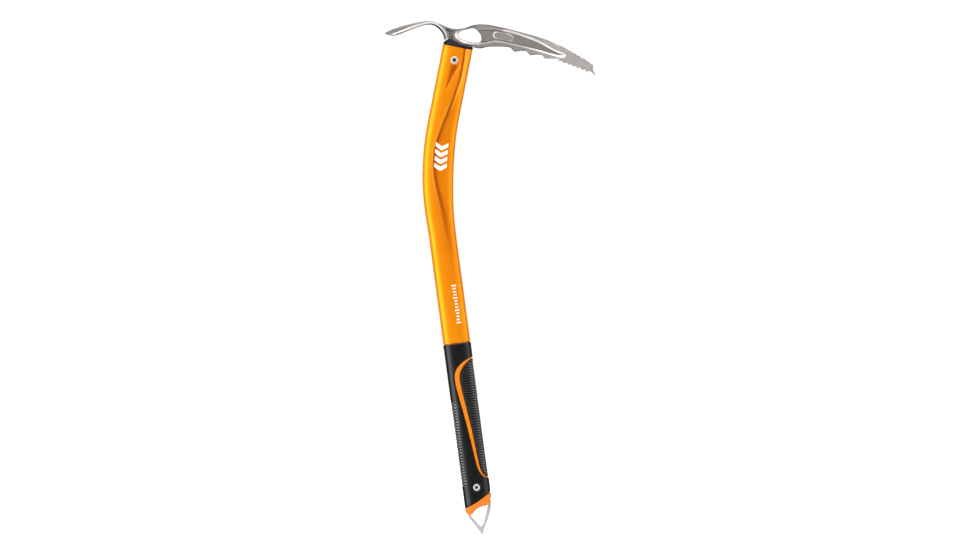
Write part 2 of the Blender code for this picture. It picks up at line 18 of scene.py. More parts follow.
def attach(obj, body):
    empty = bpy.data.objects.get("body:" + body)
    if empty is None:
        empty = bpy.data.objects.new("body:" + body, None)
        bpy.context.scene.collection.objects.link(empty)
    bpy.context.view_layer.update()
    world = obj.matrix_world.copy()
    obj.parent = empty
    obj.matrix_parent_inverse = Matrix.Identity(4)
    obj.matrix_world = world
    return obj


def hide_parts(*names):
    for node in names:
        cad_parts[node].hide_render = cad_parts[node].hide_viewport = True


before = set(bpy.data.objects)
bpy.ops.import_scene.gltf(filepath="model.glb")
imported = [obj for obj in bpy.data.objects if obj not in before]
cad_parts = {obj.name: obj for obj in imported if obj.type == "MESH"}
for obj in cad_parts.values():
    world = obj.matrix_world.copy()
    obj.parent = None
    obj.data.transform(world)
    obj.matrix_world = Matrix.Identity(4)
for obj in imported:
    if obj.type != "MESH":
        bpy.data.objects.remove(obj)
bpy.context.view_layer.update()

MM = 0.001
GAP = 0.3  # clearance between neighbouring pieces

# Shaft centre line: straight up the grip, one arc, then straight on to the head.
BEND_START = 366.0
BEND_RADIUS = 380.0
BEND_ANGLE = math.radians(18.8)
BEND_END = BEND_START + BEND_RADIUS * BEND_ANGLE
SHAFT_BOTTOM = 30.0
SHAFT_TOP = 572.5

# Tube sections, as full width in the plane of the axe and full depth across it.
WALL = 1.3
GRIP_TUBE = (28.8, 19.4)
LOWER = (31.8, 22.0)
MIDDLE = (36.2, 20.8)
UPPER = (35.0, 20.6)
OVAL_POWER = 2.5  # 2 is an ellipse, more is squarer

GRIP_TOP = 225.0
GRIP_SIZE = (32.2, 22.8)
GRIP_LIP = 0.2
GRIP_LIP_HEIGHT = 4.0
GRIP_SKIN = 1.35  # thickness of the rubber
SLANT_HEIGHT, SLANT_RISE, SLANT_CURVE = 40.2, 0.49, 0.0065

HEAD_RIVET_AT = (40.9, 551.5)
SPIKE_RIVET_AT = (0.6, 56.5)
SHANK_RADIUS = 2.5
RIVET_HEAD_HEIGHT = 1.3
RIVET_RECESS_RADIUS = 4.7

# Head, as half thicknesses.
EYE_HALF = 3.9
TIP_HALF = 2.0
FLOOR_HALF = 1.5
TAPER_START, TAPER_END = 76.0, 200.0

SPIKE_HALF = 2.0
SPIKE_TIP_HALF = 0.5
SPIKE_BEVEL_HEIGHT = 11.0
SPIKE_EDGE = 0.55  # width of the bevel round it

# Handles of an outline's points: S is passed smoothly, C is a corner.
S, C = "smooth", "corner"
AUTO_HANDLE = 2.5614  # divides a smooth handle's length, as Blender's automatic handles do
HEX_RISE = 0.866  # height of a row of even triangles
MERGE, FINE_MERGE = 0.002, 0.0005  # points this near are one point
ROW_GAP = 0.3  # least distance between points of a mesh's rows


# ---------------------------------------------------------------- curves


def ease(value, low, high):
    """0 below low, 1 above high, smooth between them."""
    share = np.clip((value - low) / (high - low), 0, 1)
    return share * share * (3 - 2 * share)


def blend(low, high, share):
    return low + (high - low) * share


def handle(before, point, after, kind, ahead):
    """The Bezier handle of a point, towards its next neighbour or its last one."""
    neighbour = after if ahead else before
    if kind == C:
        return point + (neighbour - point) / 3
    back, on = point - before, after - point
    back_length, on_length = np.linalg.norm(back), np.linalg.norm(on)
    direction = back / back_length + on / on_length
    reach = on_length if ahead else -back_length
    return point + direction * reach / (np.linalg.norm(direction) * AUTO_HANDLE)


def curve_points(outline, step, closed=True):
    """Points about every step mm along an outline of (u, v, handle)."""
    knots = [np.array(point[:2], float) for point in outline]
    count = len(knots)
    found = []
    for i in range(count if closed else count - 1):
        j = (i + 1) % count
        before = knots[i - 1] if closed or i else 2 * knots[0] - knots[1]
        after = knots[(i + 2) % count] if closed or j < count - 1 else 2 * knots[j] - knots[i]
        start, end = knots[i], knots[j]
        leaving = handle(before, start, end, outline[i][2], True)
        arriving = handle(start, end, after, outline[j][2], False)
        pieces = max(1, round(np.linalg.norm(end - start) / step))
        for k in range(pieces):
            t = k / pieces
            u = 1 - t
            found.append(u**3 * start + 3 * u * u * t * leaving + 3 * u * t * t * arriving + t**3 * end)
    if not closed:
        found.append(knots[-1])
    return np.array(found)


def circle_points(centre, radius, count):
    turn = 2 * math.pi * np.arange(count) / count
    return np.array(centre) + radius * np.stack([np.cos(turn), np.sin(turn)], 1)


def distance(points, loop):
    """How far each point is from a closed loop."""
    best = np.full(len(points), np.inf)
    for start, end in zip(loop, np.roll(loop, -1, axis=0)):
        along = end - start
        share = np.clip((points - start) @ along / max(along @ along, 1e-12), 0, 1)
        gap = points - start - share[:, None] * along
        best = np.minimum(best, (gap * gap).sum(1))
    return np.sqrt(best)


def inside(points, loops):
    """Which points lie in the area between closed loops."""
    found = np.zeros(len(points), bool)
    for loop in loops:
        for start, end in zip(loop, np.roll(loop, -1, axis=0)):
            if start[1] == end[1]:
                continue
            crosses = (start[1] > points[:, 1]) != (end[1] > points[:, 1])
            at = start[0] + (points[:, 1] - start[1]) * (end[0] - start[0]) / (end[1] - start[1])
            found ^= crosses & (points[:, 0] < at)
    return found


def beside(loop, offset):
    """Points at that distance from a loop, on both sides, for a crisp edge there."""
    ahead = np.roll(loop, -1, axis=0) - np.roll(loop, 1, axis=0)
    ahead /= np.maximum(np.linalg.norm(ahead, axis=1), 1e-9)[:, None]
    normal = np.stack([ahead[:, 1], -ahead[:, 0]], 1)
    both = np.concatenate([loop + normal * offset, loop - normal * offset])
    return both[distance(both, loop) > offset * 0.97]


def hex_grid(low, high, spacing):
    rows = []
    for i, v in enumerate(np.arange(low[1], high[1], spacing * HEX_RISE)):
        across = np.arange(low[0] + (i % 2) * spacing / 2, high[0], spacing)
        rows.append(np.stack([across, np.full(len(across), v)], 1))
    return np.concatenate(rows)


def tree_of(points):
    """A search tree over points with two or three numbers each."""
    tree = KDTree(len(points))
    for i, point in enumerate(points):
        tree.insert((*point, 0)[:3], i)
    tree.balance()
    return tree


def thin_out(points, kept, clearance):
    """The points that are further than the clearance from every kept one."""
    tree = tree_of(kept)
    return np.array([point for point in points if tree.find((*point, 0))[2] > clearance])


def thin_rows(points, clearance):
    """The points, without those that crowd one before them."""
    tree = tree_of(points)
    used = np.ones(len(points), bool)
    for i, point in enumerate(points):
        if used[i]:
            for _, other, _ in tree.find_range((*point, 0), clearance):
                if other > i:
                    used[other] = False
    return points[used]


def triangulate(loops, inner, creases=()):
    """(points, triangles) that fill the area between the loops, with edges along creases."""
    points, edges = [], []
    for loop in [*loops, *creases]:
        first = len(points)
        points += [Vector(point) for point in loop]
        edges += [(first + i, first + (i + 1) % len(loop)) for i in range(len(loop))]
    points += [Vector(point) for point in inner]
    made = delaunay_2d_cdt(points, edges, [], 0, 1e-6, False)
    flat = np.array([tuple(point) for point in made[0]])
    faces = np.array([face for face in made[2] if len(face) == 3])
    faces = faces[inside(flat[faces].mean(1), loops)]
    used, faces = np.unique(faces, return_inverse=True)
    return flat[used], faces.reshape(-1, 3)


def filled(loops, rows, spacing, apart, creases=()):
    """Triangles between the loops, through rows of points and an even grid.

    apart is how far the rows, and then the grid, stay from what is there already.
    """
    edges = np.concatenate([*loops, *creases])
    rows = np.concatenate(rows)
    rows = thin_rows(thin_out(rows[inside(rows, loops)], edges, apart[0]), ROW_GAP)
    grid = hex_grid(loops[0].min(0), loops[0].max(0), spacing)
    grid = thin_out(grid[inside(grid, loops)], np.concatenate([rows, edges]), apart[1])
    return triangulate(loops, np.concatenate([rows, grid]), creases)


def rim_edges(triangles):
    """The edges that only one of the triangles has, in its direction."""
    edges = [pair for a, b, c in triangles for pair in ((a, b), (b, c), (c, a))]
    known = set(edges)
    return [(a, b) for a, b in edges if (b, a) not in known]


# ---------------------------------------------------------------- shaft geometry


def centre_line(along):
    """(point, direction up the shaft, direction across it to the pick's side)."""
    turned = min(BEND_ANGLE, max(0.0, (along - BEND_START) / BEND_RADIUS))
    up = np.array([math.sin(turned), 0, math.cos(turned)])
    across = np.array([math.cos(turned), 0, -math.sin(turned)])
    x = BEND_RADIUS * (1 - math.cos(turned))
    z = min(along, BEND_START) + BEND_RADIUS * math.sin(turned)
    return np.array([x, 0, z]) + up * max(0.0, along - BEND_END), up, across


def at_top(across, above):
    """(x, z) of a point near the shaft's top cut, given from the cut's middle."""
    point, up, side = centre_line(SHAFT_TOP)
    place = point + up * above + side * across
    return place[0], place[2]


def tube_size(along):
    """Outer width and depth of the tube above the grip."""
    widening = ease(along, 345, 425)
    settling = ease(along, 440, 500)
    sizes = []
    for lower, middle, upper in zip(LOWER, MIDDLE, UPPER):
        sizes.append(float(blend(blend(lower, middle, widening), upper, settling)))
    return sizes


def oval_depth(share):
    """Depth of the squared oval, as a share, at that share of its half width."""
    return np.clip(1 - np.abs(share) ** OVAL_POWER, 0, 1) ** (1 / OVAL_POWER)


def squared(size, wave):
    """A squared oval's coordinate, from its full size and the turn's sine or cosine."""
    return size / 2 * np.sign(wave) * np.abs(wave) ** (2 / OVAL_POWER)


def oval(width, depth, count):
    """Points (across, y) round a squared oval of the given full sizes."""
    turn = 2 * math.pi * np.arange(count) / count
    return np.stack([squared(width, np.cos(turn)), squared(depth, np.sin(turn))], 1)


def placed(section, along):
    """A section's (across, y) points at a place along the shaft."""
    point, _, side = centre_line(along)
    return point + section[:, :1] * side + section[:, 1:] * np.array([0, 1, 0])


def ring_on_shaft(along, width, depth, count=96):
    return placed(oval(width, depth, count), along)


def slanted_height(x, below=0.0):
    """Height of the grip's slanted bottom edge at x, or of a line below it."""
    return SLANT_HEIGHT + SLANT_RISE * x + SLANT_CURVE * x * x - below


def slanted_ring(width, depth, below, count=96):
    section = oval(width, depth, count)
    heights = slanted_height(section[:, 0], below)
    return np.concatenate([section, heights[:, None]], 1)


# ---------------------------------------------------------------- making meshes


def mesh_of(name, points, faces, attributes=()):
    """A mesh in metres from points in mm. Attributes are (name, value per point)."""
    mesh = bpy.data.meshes.new(name)
    mesh.from_pydata([tuple(point * MM) for point in np.asarray(points)], [], faces)
    for label, values in attributes:
        field = mesh.attributes.new(label, "FLOAT", "POINT")
        field.data.foreach_set("value", np.asarray(values, np.float32))
    return mesh


def tidy_mesh(mesh, merge=MERGE):
    """Welds the mesh's seams and turns its faces outwards."""
    work = bmesh.new()
    work.from_mesh(mesh)
    bmesh.ops.remove_doubles(work, verts=work.verts, dist=merge * MM)
    bmesh.ops.recalc_face_normals(work, faces=work.faces)
    work.to_mesh(mesh)
    work.free()
    return mesh


def ring_faces(rings, count):
    """The faces between so many rings of count points each."""
    faces = []
    for low in range(0, (rings - 1) * count, count):
        for i in range(count):
            j, high = (i + 1) % count, low + count
            faces.append((low + i, low + j, high + j, high + i))
    return faces


def loft_mesh(name, rings, attributes=()):
    """A skin through rings of equal length, closed at both ends."""
    count = len(rings[0])
    faces = ring_faces(len(rings), count)
    faces.append(list(range(count - 1, -1, -1)))
    faces.append([(len(rings) - 1) * count + i for i in range(count)])
    return tidy_mesh(mesh_of(name, np.concatenate(rings), faces, attributes), FINE_MERGE)


def sheet_solid(name, triangles, outer, inner, attributes, open_at=None):
    """A closed solid from a flat triangulation and where its two sides go.

    Edges for which open_at is true of both ends get no wall, so that they can be welded.
    """
    count = len(outer)
    faces = [tuple(triangle) for triangle in triangles]
    faces += [(c + count, b + count, a + count) for a, b, c in triangles]
    for first, second in rim_edges(triangles):
        if open_at is None or not (open_at[first] and open_at[second]):
            faces.append((second, first, first + count, second + count))
    doubled = [(label, np.concatenate([values, values])) for label, values in attributes]
    return tidy_mesh(mesh_of(name, np.concatenate([outer, inner]), faces, doubled))


def plate_solid(name, flat, triangles, half, attributes=()):
    """A plate with its own half thickness at each point of a triangulation."""
    near = np.stack([flat[:, 0], -half, flat[:, 1]], 1)
    return sheet_solid(name, triangles, near, near * np.array([1, -1, 1]), attributes)


def prism_mesh(name, outline, half, step=1.0):
    """A plate with straight sides, from its outline in the plane of the axe."""
    loop = curve_points(outline, step)
    count = len(loop)
    front = np.stack([loop[:, 0], np.full(count, -half), loop[:, 1]], 1)
    back = front * np.array([1, -1, 1])
    faces = [list(range(count)), list(range(2 * count - 1, count - 1, -1))]
    for i in range(count):
        j = (i + 1) % count
        faces.append((i, count + i, count + j, j))
    return tidy_mesh(mesh_of(name, np.concatenate([front, back]), faces))


def pin_mesh(name, centre, radius, half_length, segments=48):
    loop = circle_points(centre, radius, segments)
    outline = [(u, v, C) for u, v in loop]
    return prism_mesh(name, outline, half_length, step=100)


def settle(piece):
    """Applies the piece's modifiers to its mesh."""
    graph = bpy.context.evaluated_depsgraph_get()
    mesh = bpy.data.meshes.new_from_object(piece.evaluated_get(graph))
    piece.modifiers.clear()
    piece.data = mesh


def carve(piece, cutters, operation="DIFFERENCE"):
    """Cuts the cutters' meshes from the piece, or joins them to it."""
    helpers = []
    for mesh in cutters:
        helper = bpy.data.objects.new(mesh.name, mesh)
        bpy.context.scene.collection.objects.link(helper)
        boolean = piece.modifiers.new(mesh.name, "BOOLEAN")
        boolean.operation = operation
        boolean.solver = "EXACT"
        boolean.object = helper
        helpers.append(helper)
    settle(piece)
    for helper in helpers:
        bpy.data.objects.remove(helper)


def copy_fields(mesh, sources, labels):
    """Gives each point of a mesh the values of the nearest point of its sources."""
    tree = tree_of([vertex.co for source in sources for vertex in source.vertices])
    nearest = [tree.find(vertex.co)[1] for vertex in mesh.vertices]
    for label in labels:
        values = [item.value for source in sources for item in source.attributes[label].data]
        if label in mesh.attributes:
            mesh.attributes.remove(mesh.attributes[label])
        field = mesh.attributes.new(label, "FLOAT", "POINT")
        field.data.foreach_set("value", [values[i] for i in nearest])


def round_edges(piece, width):
    """Rounds the piece's sharp edges by a width in mm."""
    bevel = piece.modifiers.new("rounded", "BEVEL")
    bevel.width = width * MM
    bevel.segments = 3
    bevel.limit_method = "ANGLE"
    bevel.angle_limit = math.radians(40)
    settle(piece)


def new_object(name, mesh):
    piece = bpy.data.objects.new(name, mesh)
    bpy.context.scene.collection.objects.link(piece)
    return piece


def finish_piece(piece, material, nodes=(), sharp=32):
    """Gives a piece its material and its place in the frame."""
    piece.data.materials.clear()
    piece.data.materials.append(material)
    piece.data.shade_smooth()
    piece.data.set_sharp_from_angle(angle=math.radians(sharp))
    if nodes:
        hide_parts(*nodes)
    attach(piece, "root")


# ---------------------------------------------------------------- material nodes


def new_material(name):
    made = bpy.data.materials.new(name)
    made.use_nodes = True
    return made, made.node_tree, made.node_tree.nodes["Principled BSDF"]


def add_node(tree, kind, settings=(), **inputs):
    """A node with its settings made and its inputs set or linked by name."""
    made = tree.nodes.new(kind)
    for key, value in dict(settings).items():
        setattr(made, key, value)
    for key, value in inputs.items():
        socket = made.inputs[key.replace("_", " ")]
        if isinstance(value, bpy.types.NodeSocket):
            tree.links.new(value, socket)
        else:
            socket.default_value = value
    return made


def noise(tree, size, detail=3.0, roughness=0.55, stretch=(1, 1, 1)):
    """Noise from 0 to 1 on the object, whose blobs are about size mm across."""
    place = add_node(tree, "ShaderNodeTexCoord").outputs["Object"]
    place = add_node(tree, "ShaderNodeMapping", Vector=place, Scale=stretch).outputs["Vector"]
    settings = {"Scale": 1 / (size * MM), "Detail": detail, "Roughness": roughness}
    return add_node(tree, "ShaderNodeTexNoise", Vector=place, **settings).outputs["Fac"]


def remap(tree, value, low, high, from_low=0.3, from_high=0.7):
    ends = {"From_Min": from_low, "From_Max": from_high, "To_Min": low, "To_Max": high}
    return add_node(tree, "ShaderNodeMapRange", Value=value, **ends).outputs["Result"]


def mix_colours(tree, factor, first, second, mode="MIX"):
    made = tree.nodes.new("ShaderNodeMix")
    made.data_type = "RGBA"
    made.blend_type = mode
    for index, value in ((0, factor), (6, first), (7, second)):
        socket = made.inputs[index]
        if isinstance(value, bpy.types.NodeSocket):
            tree.links.new(value, socket)
        elif index == 0:
            socket.default_value = value
        else:
            socket.default_value = (*value, 1)
    return made.outputs[2]


def math_node(tree, operation, first, second):
    made = tree.nodes.new("ShaderNodeMath")
    made.operation = operation
    for index, value in enumerate((first, second)):
        if isinstance(value, bpy.types.NodeSocket):
            tree.links.new(value, made.inputs[index])
        else:
            made.inputs[index].default_value = value
    return made.outputs[0]


def attribute(tree, name):
    return add_node(tree, "ShaderNodeAttribute", {"attribute_name": name}).outputs["Fac"]


def bump(tree, shader, height, depth, strength=1.0, under=None):
    """Links a bump of that depth in mm to the shader."""
    made = add_node(tree, "ShaderNodeBump", Height=height, Strength=strength, Distance=depth * MM)
    if under is not None:
        tree.links.new(under, made.inputs["Normal"])
    tree.links.new(made.outputs["Normal"], shader.inputs["Normal"])
    return made.outputs["Normal"]


def plain_finish(name, colours, cloud, grain, rough, relief, metal=0.0, gloss=0.5, marks=()):
    """A material of two clouded colours, with a grain in its roughness and its bump.

    cloud and grain are settings of noise, rough is the range of the roughness, relief is the
    bump's depth and strength, and marks are colours laid on by the mesh's attributes.
    """
    made, tree, shader = new_material(name)
    height = noise(tree, *grain)
    colour = mix_colours(tree, remap(tree, noise(tree, *cloud), 0, 1), *colours)
    for label, tint in marks:
        colour = mix_colours(tree, attribute(tree, label), colour, tint)
    tree.links.new(colour, shader.inputs["Base Color"])
    shader.inputs["Metallic"].default_value = metal
    shader.inputs["Specular IOR Level"].default_value = gloss
    tree.links.new(remap(tree, height, *rough), shader.inputs["Roughness"])
    bump(tree, shader, height, *relief)
    return made


def forged_steel():
    """Drop-forged steel, dark and grainy in its pockets and ground on its lands, with painted shade in
    fine lines and under the adze's throat.
    """
    made, tree, shader = new_material("forged_steel_finish")
    forged = attribute(tree, "forged")
    cloud = remap(tree, noise(tree, 14, 4), 0, 1)
    grain = noise(tree, 0.7, 5, 0.65)
    ground = mix_colours(tree, cloud, (0.66, 0.61, 0.595), (0.74, 0.69, 0.675))
    rough = mix_colours(tree, cloud, (0.33, 0.305, 0.29), (0.40, 0.37, 0.35))
    colour = mix_colours(tree, forged, ground, rough)
    speckled = mix_colours(tree, remap(tree, grain, 0, 0.08), colour, (0.22, 0.21, 0.20))
    # Painted shade: near black where the mesh's attribute marks it.
    paint_shaded = mix_colours(tree, attribute(tree, "painted_steel_shade"), speckled, (0.012, 0.011, 0.011))
    tree.links.new(paint_shaded, shader.inputs["Base Color"])
    shader.inputs["Metallic"].default_value = 0.75
    matt = math_node(tree, "MULTIPLY", forged, 0.05)
    polish = math_node(tree, "ADD", remap(tree, grain, 0.29, 0.33), matt)
    tree.links.new(polish, shader.inputs["Roughness"])
    scratches = noise(tree, 0.5, 2, stretch=(0.15, 1, 1.6))
    fine = bump(tree, shader, scratches, 0.003, 0.4)
    bump(tree, shader, grain, 0.004, 0.3, under=fine)
    return made


def stainless_steel():
    """Blasted stainless plate, pale and even, with a short satin grain."""
    colours = (0.86, 0.865, 0.855), (0.93, 0.93, 0.92)
    grain = (0.35, 4, 0.55, (1, 1, 0.25))
    return plain_finish(
        "stainless_steel_finish", colours, (8,), grain, (0.32, 0.44), (0.02, 0.4), metal=0.8
    )


def orange_anodised():
    """Satin anodised aluminium: metal seen through an orange dye, with painted shade along its creases
    and painted highlights beside them.
    """
    colours = (0.88, 0.25, 0.002), (0.93, 0.28, 0.004)
    # shade darkens the dye as painted shade in the creases; lift lightens it as a painted highlight.
    marks = ("shade", (0.36, 0.035, 0.0)), ("lift", (1.0, 0.50, 0.04))
    cloud, grain = (18, 3, 0.55, (1, 1, 0.4)), (0.25, 4, 0.6)
    return plain_finish(
        "orange_anodised_finish", colours, cloud, grain, (0.30, 0.38), (0.012, 0.5), 0.5, 0.15, marks
    )


def rubber(name, colours, roughness, gloss, marks=()):
    """Moulded rubber with a fine matt grain."""
    rough = (roughness - 0.05, roughness + 0.07)
    return plain_finish(name, colours, (10,), (0.5, 4, 0.6), rough, (0.03, 0.5), gloss=gloss, marks=marks)


def black_rubber():
    """Nearly black, with a painted grey highlight on its rib tops."""
    colours = (0.002, 0.002, 0.0022), (0.0035, 0.0035, 0.0038)
    # The grey is a painted highlight on the rib tops.
    return rubber("black_rubber_finish", colours, 0.30, 0.38, [("painted_rib_highlight", (0.15, 0.15, 0.15))])


def orange_rubber():
    colours = (0.60, 0.155, 0.001), (0.65, 0.175, 0.002)
    return rubber("orange_rubber_finish", colours, 0.34, 0.22)


def orange_plastic():
    """Glass-filled nylon with a faint moulded grain."""
    colours = (0.62, 0.145, 0.005), (0.68, 0.165, 0.008)
    return plain_finish(
        "orange_plastic_finish", colours, (9,), (0.4,), (0.36, 0.46), (0.02, 0.35), gloss=0.3
    )


def black_plastic():
    """Glass-filled nylon in near black, shinier than the grip."""
    colours = (0.004, 0.0045, 0.006), (0.009, 0.010, 0.013)
    return plain_finish(
        "black_plastic_finish", colours, (6,), (0.4,), (0.22, 0.30), (0.015, 0.3), gloss=0.12
    )


def rivet_steel():
    """Turned and plated steel with fine scratches, and painted shade in its dimple."""
    colours = (0.78, 0.78, 0.77), (0.90, 0.90, 0.89)
    # The slate colour is painted shade for the dimple.
    grain, painted_recess_shade = (0.2, 3, 0.55, (1, 1, 0.3)), (0.06, 0.07, 0.085)
    return plain_finish(
        "rivet_steel_finish", colours, (2.5,), grain, (0.2, 0.28), (0.004, 0.3), 0.85,
        marks=[("painted_recess_shade", painted_recess_shade)],
    )


def white_ink():
    """Screen-printed ink, very slightly uneven."""
    colours = (0.86, 0.85, 0.83), (0.95, 0.94, 0.92)
    return plain_finish("white_ink_finish", colours, (3,), (0.3,), (0.45, 0.6), (0.01, 0.3))


def studio_floor():
    """A pale matt sweep with a trace of its own light, so that it stays pale at an angle."""
    made, tree, shader = new_material("studio_floor_finish")
    cloud = noise(tree, 400, 2)
    colour = mix_colours(tree, remap(tree, cloud, 0, 1), (0.90, 0.90, 0.90), (0.93, 0.93, 0.93))
    tree.links.new(colour, shader.inputs["Base Color"])
    tree.links.new(remap(tree, cloud, 0.8, 0.9), shader.inputs["Roughness"])
    shader.inputs["Emission Color"].default_value = (1, 1, 1, 1)
    shader.inputs["Emission Strength"].default_value = 0.55
    return made


# ---------------------------------------------------------------- shaft

# The crease pressed along each side of the tube, as (along, across) the shaft.
CREASE = (
    (572.5, 8.5), (546, 10.2), (525, 8.8), (504, 4.2), (474, -1.8), (453, -6.2), (437, -6.1),
    (425, -5.3), (409, -2.4), (392, 1.0), (376, 2.9), (355, 4.0), (319, 6.4), (290, 8.0),
    (226, 8.6),
)
CREASE_SPREAD = np.linspace(-14, 14, 9)
CREASE_DEPTH, WEDGE_DEPTH = 1.15, 0.7
CREASE_TURN = math.pi * 0.42  # the mesh column that runs down the crease
SECTION_COLUMNS = 80  # on each side of the tube
# The wedge pressed in below the head's rivet: its sides at the top, and its point.
WEDGE_TOP, WEDGE_BOTTOM = 553.5, 520.0
WEDGE_LEFT, WEDGE_RIGHT, WEDGE_POINT = -4.4, 6.2, -4.8


def crease_across(along):
    """Where the crease lies: the mean of nearby readings, so that the line has no corners."""
    alongs, places = np.array(CREASE[::-1]).T
    return float(np.mean(np.interp(along + CREASE_SPREAD, alongs, places)))


def relief(along, across, half_width):
    """(how far the side is pressed in, painted shade, painted highlight) at places across the tube."""
    crease = crease_across(along)
    # 1 at the head, 0 at the grip.
    strength = 0.12 + 0.88 * float(ease(along, 285, 440))
    softness = blend(9.0, 2.2, float(ease(along, 330, 430)))
    # 1 near the head, where the side sinks behind the crease instead of in front of it.
    upper = float(ease(along, 488, 528))
    past = across - crease
    reach = np.maximum(half_width - crease, 4.0)
    in_front = ease(past, 0, softness) * (1 - ease(past / reach, 0.12, 0.95))
    behind = ease(past, -7.0, -0.4) * (1 - ease(past, 0, 1.8))
    depth = CREASE_DEPTH * strength * blend(in_front, behind, upper)
    # Painted shade: a dark line down the crease, fading forwards low down and backwards near the head.
    line = np.exp(-(((past - 0.3 * softness) / (0.65 * softness)) ** 2))
    front_fade = ease(past, -0.4, 0.3) * np.exp(-np.clip(past, 0, None) / (0.4 * reach))
    rear_fade = (1 - ease(past, 0, 0.6)) * np.exp(np.clip(past, None, 0) / 2.6)
    shade = strength * np.clip(0.85 * line + 0.5 * blend(front_fade, 0.9 * rear_fade, upper), 0, 1)
    # Painted highlights: a pale band behind the crease lower down, a pale strip in front of it near the
    # head.
    painted_rear_highlight = np.exp(-(((past + 1.5) / 1.2) ** 2)) * float(ease(along, 300, 400))
    painted_front_highlight = np.exp(-(((past - 2.6) / 1.2) ** 2))
    lift = strength * blend(0.4 * painted_rear_highlight, 0.9 * painted_front_highlight, upper)
    down = (WEDGE_TOP - along) / (WEDGE_TOP - WEDGE_BOTTOM)
    if 0 < down < 1:
        left = blend(WEDGE_LEFT, WEDGE_POINT, down)
        right = blend(WEDGE_RIGHT, WEDGE_POINT, down)
        within = np.clip((across - left) / max(right - left, 0.1), 0, 1)
        bowl = np.sin(np.pi * within) ** 0.5 * float(ease(down, 0, 0.12))
        depth = depth + WEDGE_DEPTH * bowl * (1 - 0.4 * down)
        # Painted shade in the wedge, darkest on its right, and a painted highlight just right of it.
        shade = np.maximum(shade, blend(0.55, 1.0, within) * bowl)
        lift = np.maximum(lift, 0.8 * np.exp(-(((across - right - 1.0) / 0.9) ** 2)) * (1 - down))
    return depth, shade, lift


def section_turns(crease_share):
    """Angles round half a section, with one of them exactly on the crease."""
    turns = math.pi * np.arange(SECTION_COLUMNS + 1) / SECTION_COLUMNS
    crease = math.acos(math.copysign(abs(crease_share) ** (OVAL_POWER / 2), crease_share))
    low = turns * crease / CREASE_TURN
    high = math.pi - (math.pi - turns) * (math.pi - crease) / (math.pi - CREASE_TURN)
    return np.where(turns < CREASE_TURN, low, high)


def facing(share):
    """1 on the tube's broad sides, fading out round the corners to its narrow faces."""
    return ease(share, 0.25, 0.75)


def tube_ring(along, width, depth, pressed):
    """(points, painted shade, painted highlight) round the tube with its creases pressed in."""
    turns = section_turns(np.clip(crease_across(along) / (width / 2), -0.9, 0.9))
    across, base = squared(width, np.cos(turns)), squared(depth, np.sin(turns))
    press, shade, lift = relief(along, across, width / 2)
    fading = facing(base / (depth / 2))
    base = base - pressed * press * fading
    near, far = np.stack([across, -base], 1), np.stack([across, base], 1)
    fields = [np.concatenate([field, field[-2:0:-1]]) for field in (shade * fading, lift * fading)]
    return placed(np.concatenate([near, far[-2:0:-1]]), along), *fields


def side_surface(along, across):
    """The point on the camera's side of the tube at that place."""
    width, depth = tube_size(along)
    point, _, side = centre_line(along)
    press = relief(along, np.array([across]), width / 2)[0][0]
    base = depth / 2 * float(oval_depth(across / (width / 2)))
    return point + side * across, base - press * float(facing(base / (depth / 2)))


def make_shaft(material):
    """The tube from its swaged lower part, inside the grip, to its rolled top edge."""
    parts = []

    def add(along, width, depth, pressed=1.0):
        parts.append(tube_ring(along, width, depth, pressed))

    swage = GRIP_TOP + GAP
    for along in (SHAFT_BOTTOM + 6, 120, swage):
        add(along, *GRIP_TUBE, 0)
    for share in (0.25, 0.5, 0.75, 1.0):
        swell = math.sin(share * math.pi / 2)
        add(swage + share, *[blend(inner, outer, swell) for inner, outer in zip(GRIP_TUBE, LOWER)], 0)
    for along in np.arange(228.0, SHAFT_TOP - 0.7, 1.5):
        add(along, *tube_size(along), float(ease(along, 226, 240)))
    width, depth = tube_size(SHAFT_TOP)
    rim = ((0.6, 0, 1), (0.15, 0.25, 1), (0, 0.8, 1), (0, 2 * WALL, 0.4), (28, 2 * WALL, 0))
    for below, trim, pressed in rim:
        add(SHAFT_TOP - below, width - trim, depth - trim, pressed)
    # shade and lift carry the painted shade and painted highlight to the material.
    rings, shades, painted_highlights = zip(*parts)
    fields = (("shade", np.concatenate(shades)), ("lift", np.concatenate(painted_highlights)))
    piece = new_object("shaft_tube", loft_mesh("shaft_tube", rings, fields))
    finish_piece(piece, material, ["shaft"], sharp=40)


# ---------------------------------------------------------------- printed marks


def print_on_shaft(name, outlines, material, thickness=0.05, step=0.7):
    """Ink on the camera's side and the far side, from outlines in (across, along)."""
    points, faces = [], []
    for outline in outlines:
        loop = curve_points(outline, step)
        grid = hex_grid(loop.min(0), loop.max(0), step)
        grid = grid[inside(grid, [loop])]
        if len(grid):
            grid = grid[distance(grid, loop) > 0.3 * step]
        flat, triangles = triangulate([loop], grid)
        for side in (-1, 1):
            start, count = len(points), len(flat)
            for lift in (thickness, -0.25):
                for across, along in flat:
                    place, depth = side_surface(along, across)
                    points.append(place + np.array([0, side * (depth + lift), 0]))
            for a, b, c in triangles:
                faces.append((start + a, start + b, start + c))
                faces.append((start + count + c, start + count + b, start + count + a))
            for a, b in rim_edges(triangles):
                faces.append((start + b, start + a, start + count + a, start + count + b))
    mesh = tidy_mesh(mesh_of(name, np.array(points), faces), FINE_MERGE)
    finish_piece(new_object(name, mesh), material)


def chevron(across, along, half_width, rise, weight):
    """A plain V-shaped bar, drawn upwards from its middle."""
    points = [(0, 0), (1, rise), (1, rise + weight), (0, weight), (-1, rise + weight), (-1, rise)]
    return [(across + side * half_width, along + up, C) for side, up in points]


def bar(across, along, width, height):
    """An upright bar from its lower middle."""
    left, right, top = across - width / 2, across + width / 2, along + height
    return [(left, along, C), (right, along, C), (right, top, C), (left, top, C)]


# ---------------------------------------------------------------- head

